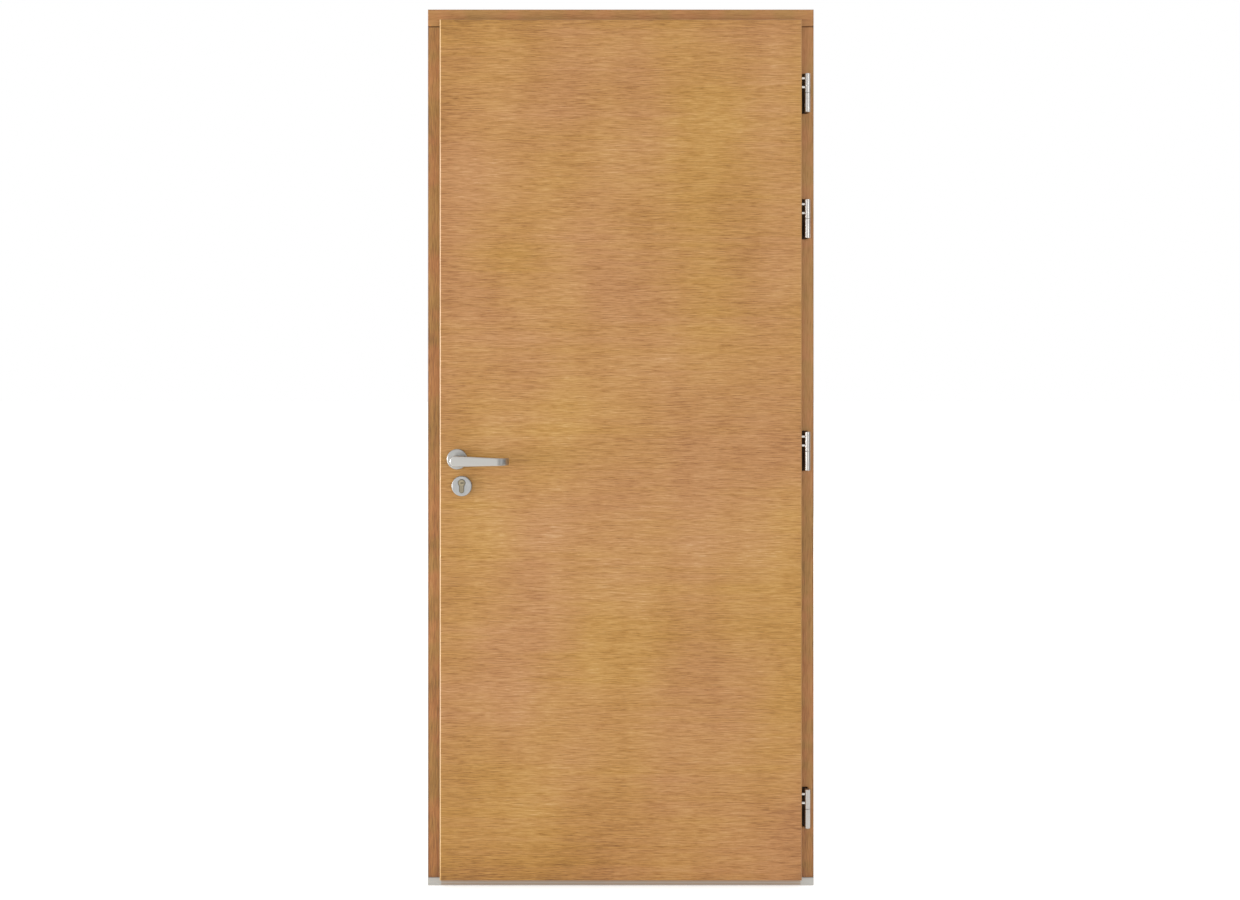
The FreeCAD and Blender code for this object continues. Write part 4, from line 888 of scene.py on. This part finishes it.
def screws(materials):
    """Raised heads where plates, threshold and lever necks are really fastened."""
    tree = screw_tree()
    steel, dark = materials["edge_steel"], materials["pocket_plate"]
    strike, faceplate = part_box("strike_plate"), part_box("lock_faceplate")
    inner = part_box("threshold_inner")
    depth = (strike[0].y + strike[1].y) / 2
    upright = (strike[0].z + PLATE_SCREW_INSET, strike[1].z - PLATE_SCREW_INSET)
    latch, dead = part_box("latch_bolt"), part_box("dead_bolt")
    between = (latch[0].z + dead[1].z) / 2
    plate = {"Head Radius": 4.2 * MM, "Head Height": 0.7 * MM, "Slot Length": 4.4 * MM,
             "Slot Width": 0.9 * MM, "Socket Radius": 0.8 * MM, "Recess Depth": 1.2 * MM,
             "Spin": math.pi, "Seed": 7, "Material": steel}
    to_hinges, to_lock = (0.0, math.pi / 2, 0.0), (0.0, -math.pi / 2, 0.0)
    grow("strike_screws", tree, [(strike[1].x, depth, z) for z in (*upright, between)],
         {**plate, "Turn": to_hinges}, "frame", "lock_steel")
    grow("faceplate_screws", tree, [(faceplate[0].x, depth, z) for z in upright],
         {**plate, "Head Height": 0.5 * MM, "Turn": to_lock}, "leaf", "lock_steel")
    grow("cylinder_screw", tree, [(faceplate[0].x, depth, dead[0].z - CYLINDER_SCREW_DROP)],
         {**plate, "Head Radius": 3.2 * MM, "Head Height": 0.4 * MM, "Turn": to_lock}, "leaf",
         "lock_steel")
    places = [(x, (inner[0].y + inner[1].y) / 2, inner[1].z)
              for x in THRESHOLD_SCREWS]
    grow("threshold_screws", tree, places, {**plate, "Turn": (0.0, 0.0, 0.0)}, "frame",
         "threshold_aluminium")
    places = []
    for number in HINGES:
        low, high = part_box(f"hinge_{number}_frame_plate")
        places += [(low.x + HINGE_SCREW_SIDE, low.y, z)
                   for z in (low.z + HINGE_SCREW_INSET, high.z - HINGE_SCREW_INSET)]
    grow("hinge_plate_screws", tree, places, {
        **plate, "Turn": (math.pi / 2, 0.0, 0.0), "Material": dark}, "frame",
        "hinge_pocket_plate")
    lever_axis = box_middle("lever_spindle")
    necks = [(lever_axis[0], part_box("inner_lever")[1].y - SET_SCREW_OUT,
              lever_axis[1] - NECK_RADIUS),
             (lever_axis[0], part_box("outer_lever")[0].y + OUTER_SET_SCREW_OUT,
              lever_axis[1] - OUTER_NECK_RADIUS)]
    grow("lever_set_screws", tree, necks, {
        **plate, "Head Radius": 2.2 * MM, "Head Height": 0.25 * MM, "Slot Length": 1.0 * MM,
        "Slot Width": 0.5 * MM, "Socket Radius": 1.25 * MM, "Turn": (math.pi, 0.0, 0.0)},
        "lever_set", "lever_steel")


# Studio

def make_camera():
    camera = bpy.data.cameras.new("camera")
    camera.sensor_width = SENSOR_MM
    camera.lens = FOCAL_PIXELS / PHOTO_WIDTH * SENSOR_MM
    camera.shift_x = SIDE_SHIFT_PIXELS / PHOTO_WIDTH
    camera.shift_y = HORIZON_SHIFT_PIXELS / PHOTO_WIDTH
    holder = bpy.data.objects.new("camera", camera)
    holder.location = EYE
    holder.rotation_euler = (math.radians(90), 0.0, 0.0)
    bpy.context.scene.collection.objects.link(holder)
    bpy.context.scene.camera = holder


def soft_box(name, place, size, level):
    """A large soft lamp. level is the share of plain light that it gives a surface facing it."""
    lamp = bpy.data.lights.new(name, "AREA")
    lamp.shape = "RECTANGLE"
    lamp.size, lamp.size_y = size
    throw = LAMP_AIM - Vector(place)
    lamp.energy = level * math.pi ** 2 * throw.length ** 2
    holder = bpy.data.objects.new(name, lamp)
    holder.location = place
    holder.rotation_euler = throw.to_track_quat("-Z", "Y").to_euler()
    bpy.context.scene.collection.objects.link(holder)


def white_when_seen(tree, level):
    """A factor that is 1 for camera, glossy and transmission rays, times level."""
    rays = add(tree, "ShaderNodeLightPath").outputs
    seen = rays["Is Camera Ray"]
    for name in ("Is Glossy Ray", "Is Transmission Ray"):
        seen = add(tree, "ShaderNodeMath", {0: seen, 1: rays[name]}, operation="ADD")
    return add(tree, "ShaderNodeMath", {0: seen, 1: level}, operation="MULTIPLY", use_clamp=True)


def make_dark_cloth():
    """Dark cloth at the right that only reflections show, so that steel bends have a dark side.

    It stands clear of the leaf both closed and fully open.
    """
    mesh = bpy.data.meshes.new("dark_flag")
    corners = [(0.552, -0.5, -0.2), (1.2, -10.0, -3.0), (1.2, -10.0, 5.0), (0.552, -0.5, 2.4),
               (4.4, -2.2, 0.0), (4.4, 0.8, 0.0), (4.4, 0.8, 2.0), (4.4, -2.2, 2.0)]
    mesh.from_pydata(corners, [], [(0, 1, 2, 3), (4, 5, 6, 7)])
    material, tree, _ = new_material("dark_cloth")
    cloth = add(tree, "ShaderNodeEmission", {"Color": linear("#4C4C4C"), "Strength": 1.0})
    add(tree, "ShaderNodeOutputMaterial", {"Surface": cloth})
    mesh.materials.append(material)
    flag = bpy.data.objects.new("dark_flag", mesh)
    bpy.context.scene.collection.objects.link(flag)
    for kind in ("camera", "diffuse", "shadow", "transmission", "volume_scatter"):
        setattr(flag, "visible_" + kind, False)
    flag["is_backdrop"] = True


def make_lamps():
    soft_box("key_lamp", (-5.6, -5.6, 0.9), (3.4, 3.0), 0.14)
    soft_box("side_lamp", (-8.4, -1.9, 0.6), (2.2, 2.6), 0.80)
    soft_box("fill_lamp", (4.6, -6.4, 2.2), (3.0, 3.0), 0.20)
    soft_box("back_lamp", (3.0, 6.5, 3.0), (3.0, 3.0), 0.34)


def make_world():
    """Even light of its own level, which the eye and reflections see as white."""
    world = bpy.data.worlds.new("studio")
    bpy.context.scene.world = world
    world.use_nodes = True
    tree = world.node_tree
    tree.nodes.clear()
    ambient = add(tree, "ShaderNodeBackground", {"Color": (1, 1, 1, 1), "Strength": 0.56})
    white = add(tree, "ShaderNodeBackground", {"Color": (1, 1, 1, 1), "Strength": 1.0})
    either = add(tree, "ShaderNodeMixShader", {
        0: white_when_seen(tree, 1.0), 1: ambient, 2: white})
    add(tree, "ShaderNodeOutputWorld", {"Surface": either})


def make_floor():
    """A plain pale floor that keeps the door's shadow and runs into the white behind."""
    mesh = bpy.data.meshes.new("floor")
    shape = bmesh.new()
    bmesh.ops.create_grid(shape, x_segments=1, y_segments=1, size=30.0)
    shape.to_mesh(mesh)
    shape.free()
    floor = bpy.data.objects.new("floor", mesh)
    bpy.context.scene.collection.objects.link(floor)
    material, tree, _ = new_material("pale_floor")
    paper = add(tree, "ShaderNodeBsdfDiffuse", {"Color": linear("#F4F4F2")})
    glow = add(tree, "ShaderNodeEmission", {
        "Color": (1, 1, 1, 1), "Strength": white_when_seen(tree, 0.62)})
    both = add(tree, "ShaderNodeAddShader", {0: paper, 1: glow})
    add(tree, "ShaderNodeOutputMaterial", {"Surface": both})
    mesh.materials.append(material)
    floor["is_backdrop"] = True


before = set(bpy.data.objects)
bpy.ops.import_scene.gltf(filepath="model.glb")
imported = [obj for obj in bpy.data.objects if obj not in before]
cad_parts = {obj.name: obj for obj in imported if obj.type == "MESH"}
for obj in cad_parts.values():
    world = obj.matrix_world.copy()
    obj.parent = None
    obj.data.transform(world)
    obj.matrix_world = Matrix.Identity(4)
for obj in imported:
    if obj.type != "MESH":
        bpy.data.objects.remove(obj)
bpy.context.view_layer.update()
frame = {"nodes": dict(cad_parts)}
make_camera()
make_lamps()
make_dark_cloth()
make_world()
make_floor()
bpy.context.scene.view_settings.view_transform = "Standard"
materials = make_materials()
finish_nodes(frame["nodes"], materials)
furniture(materials)
hinges(materials)
screws(materials)
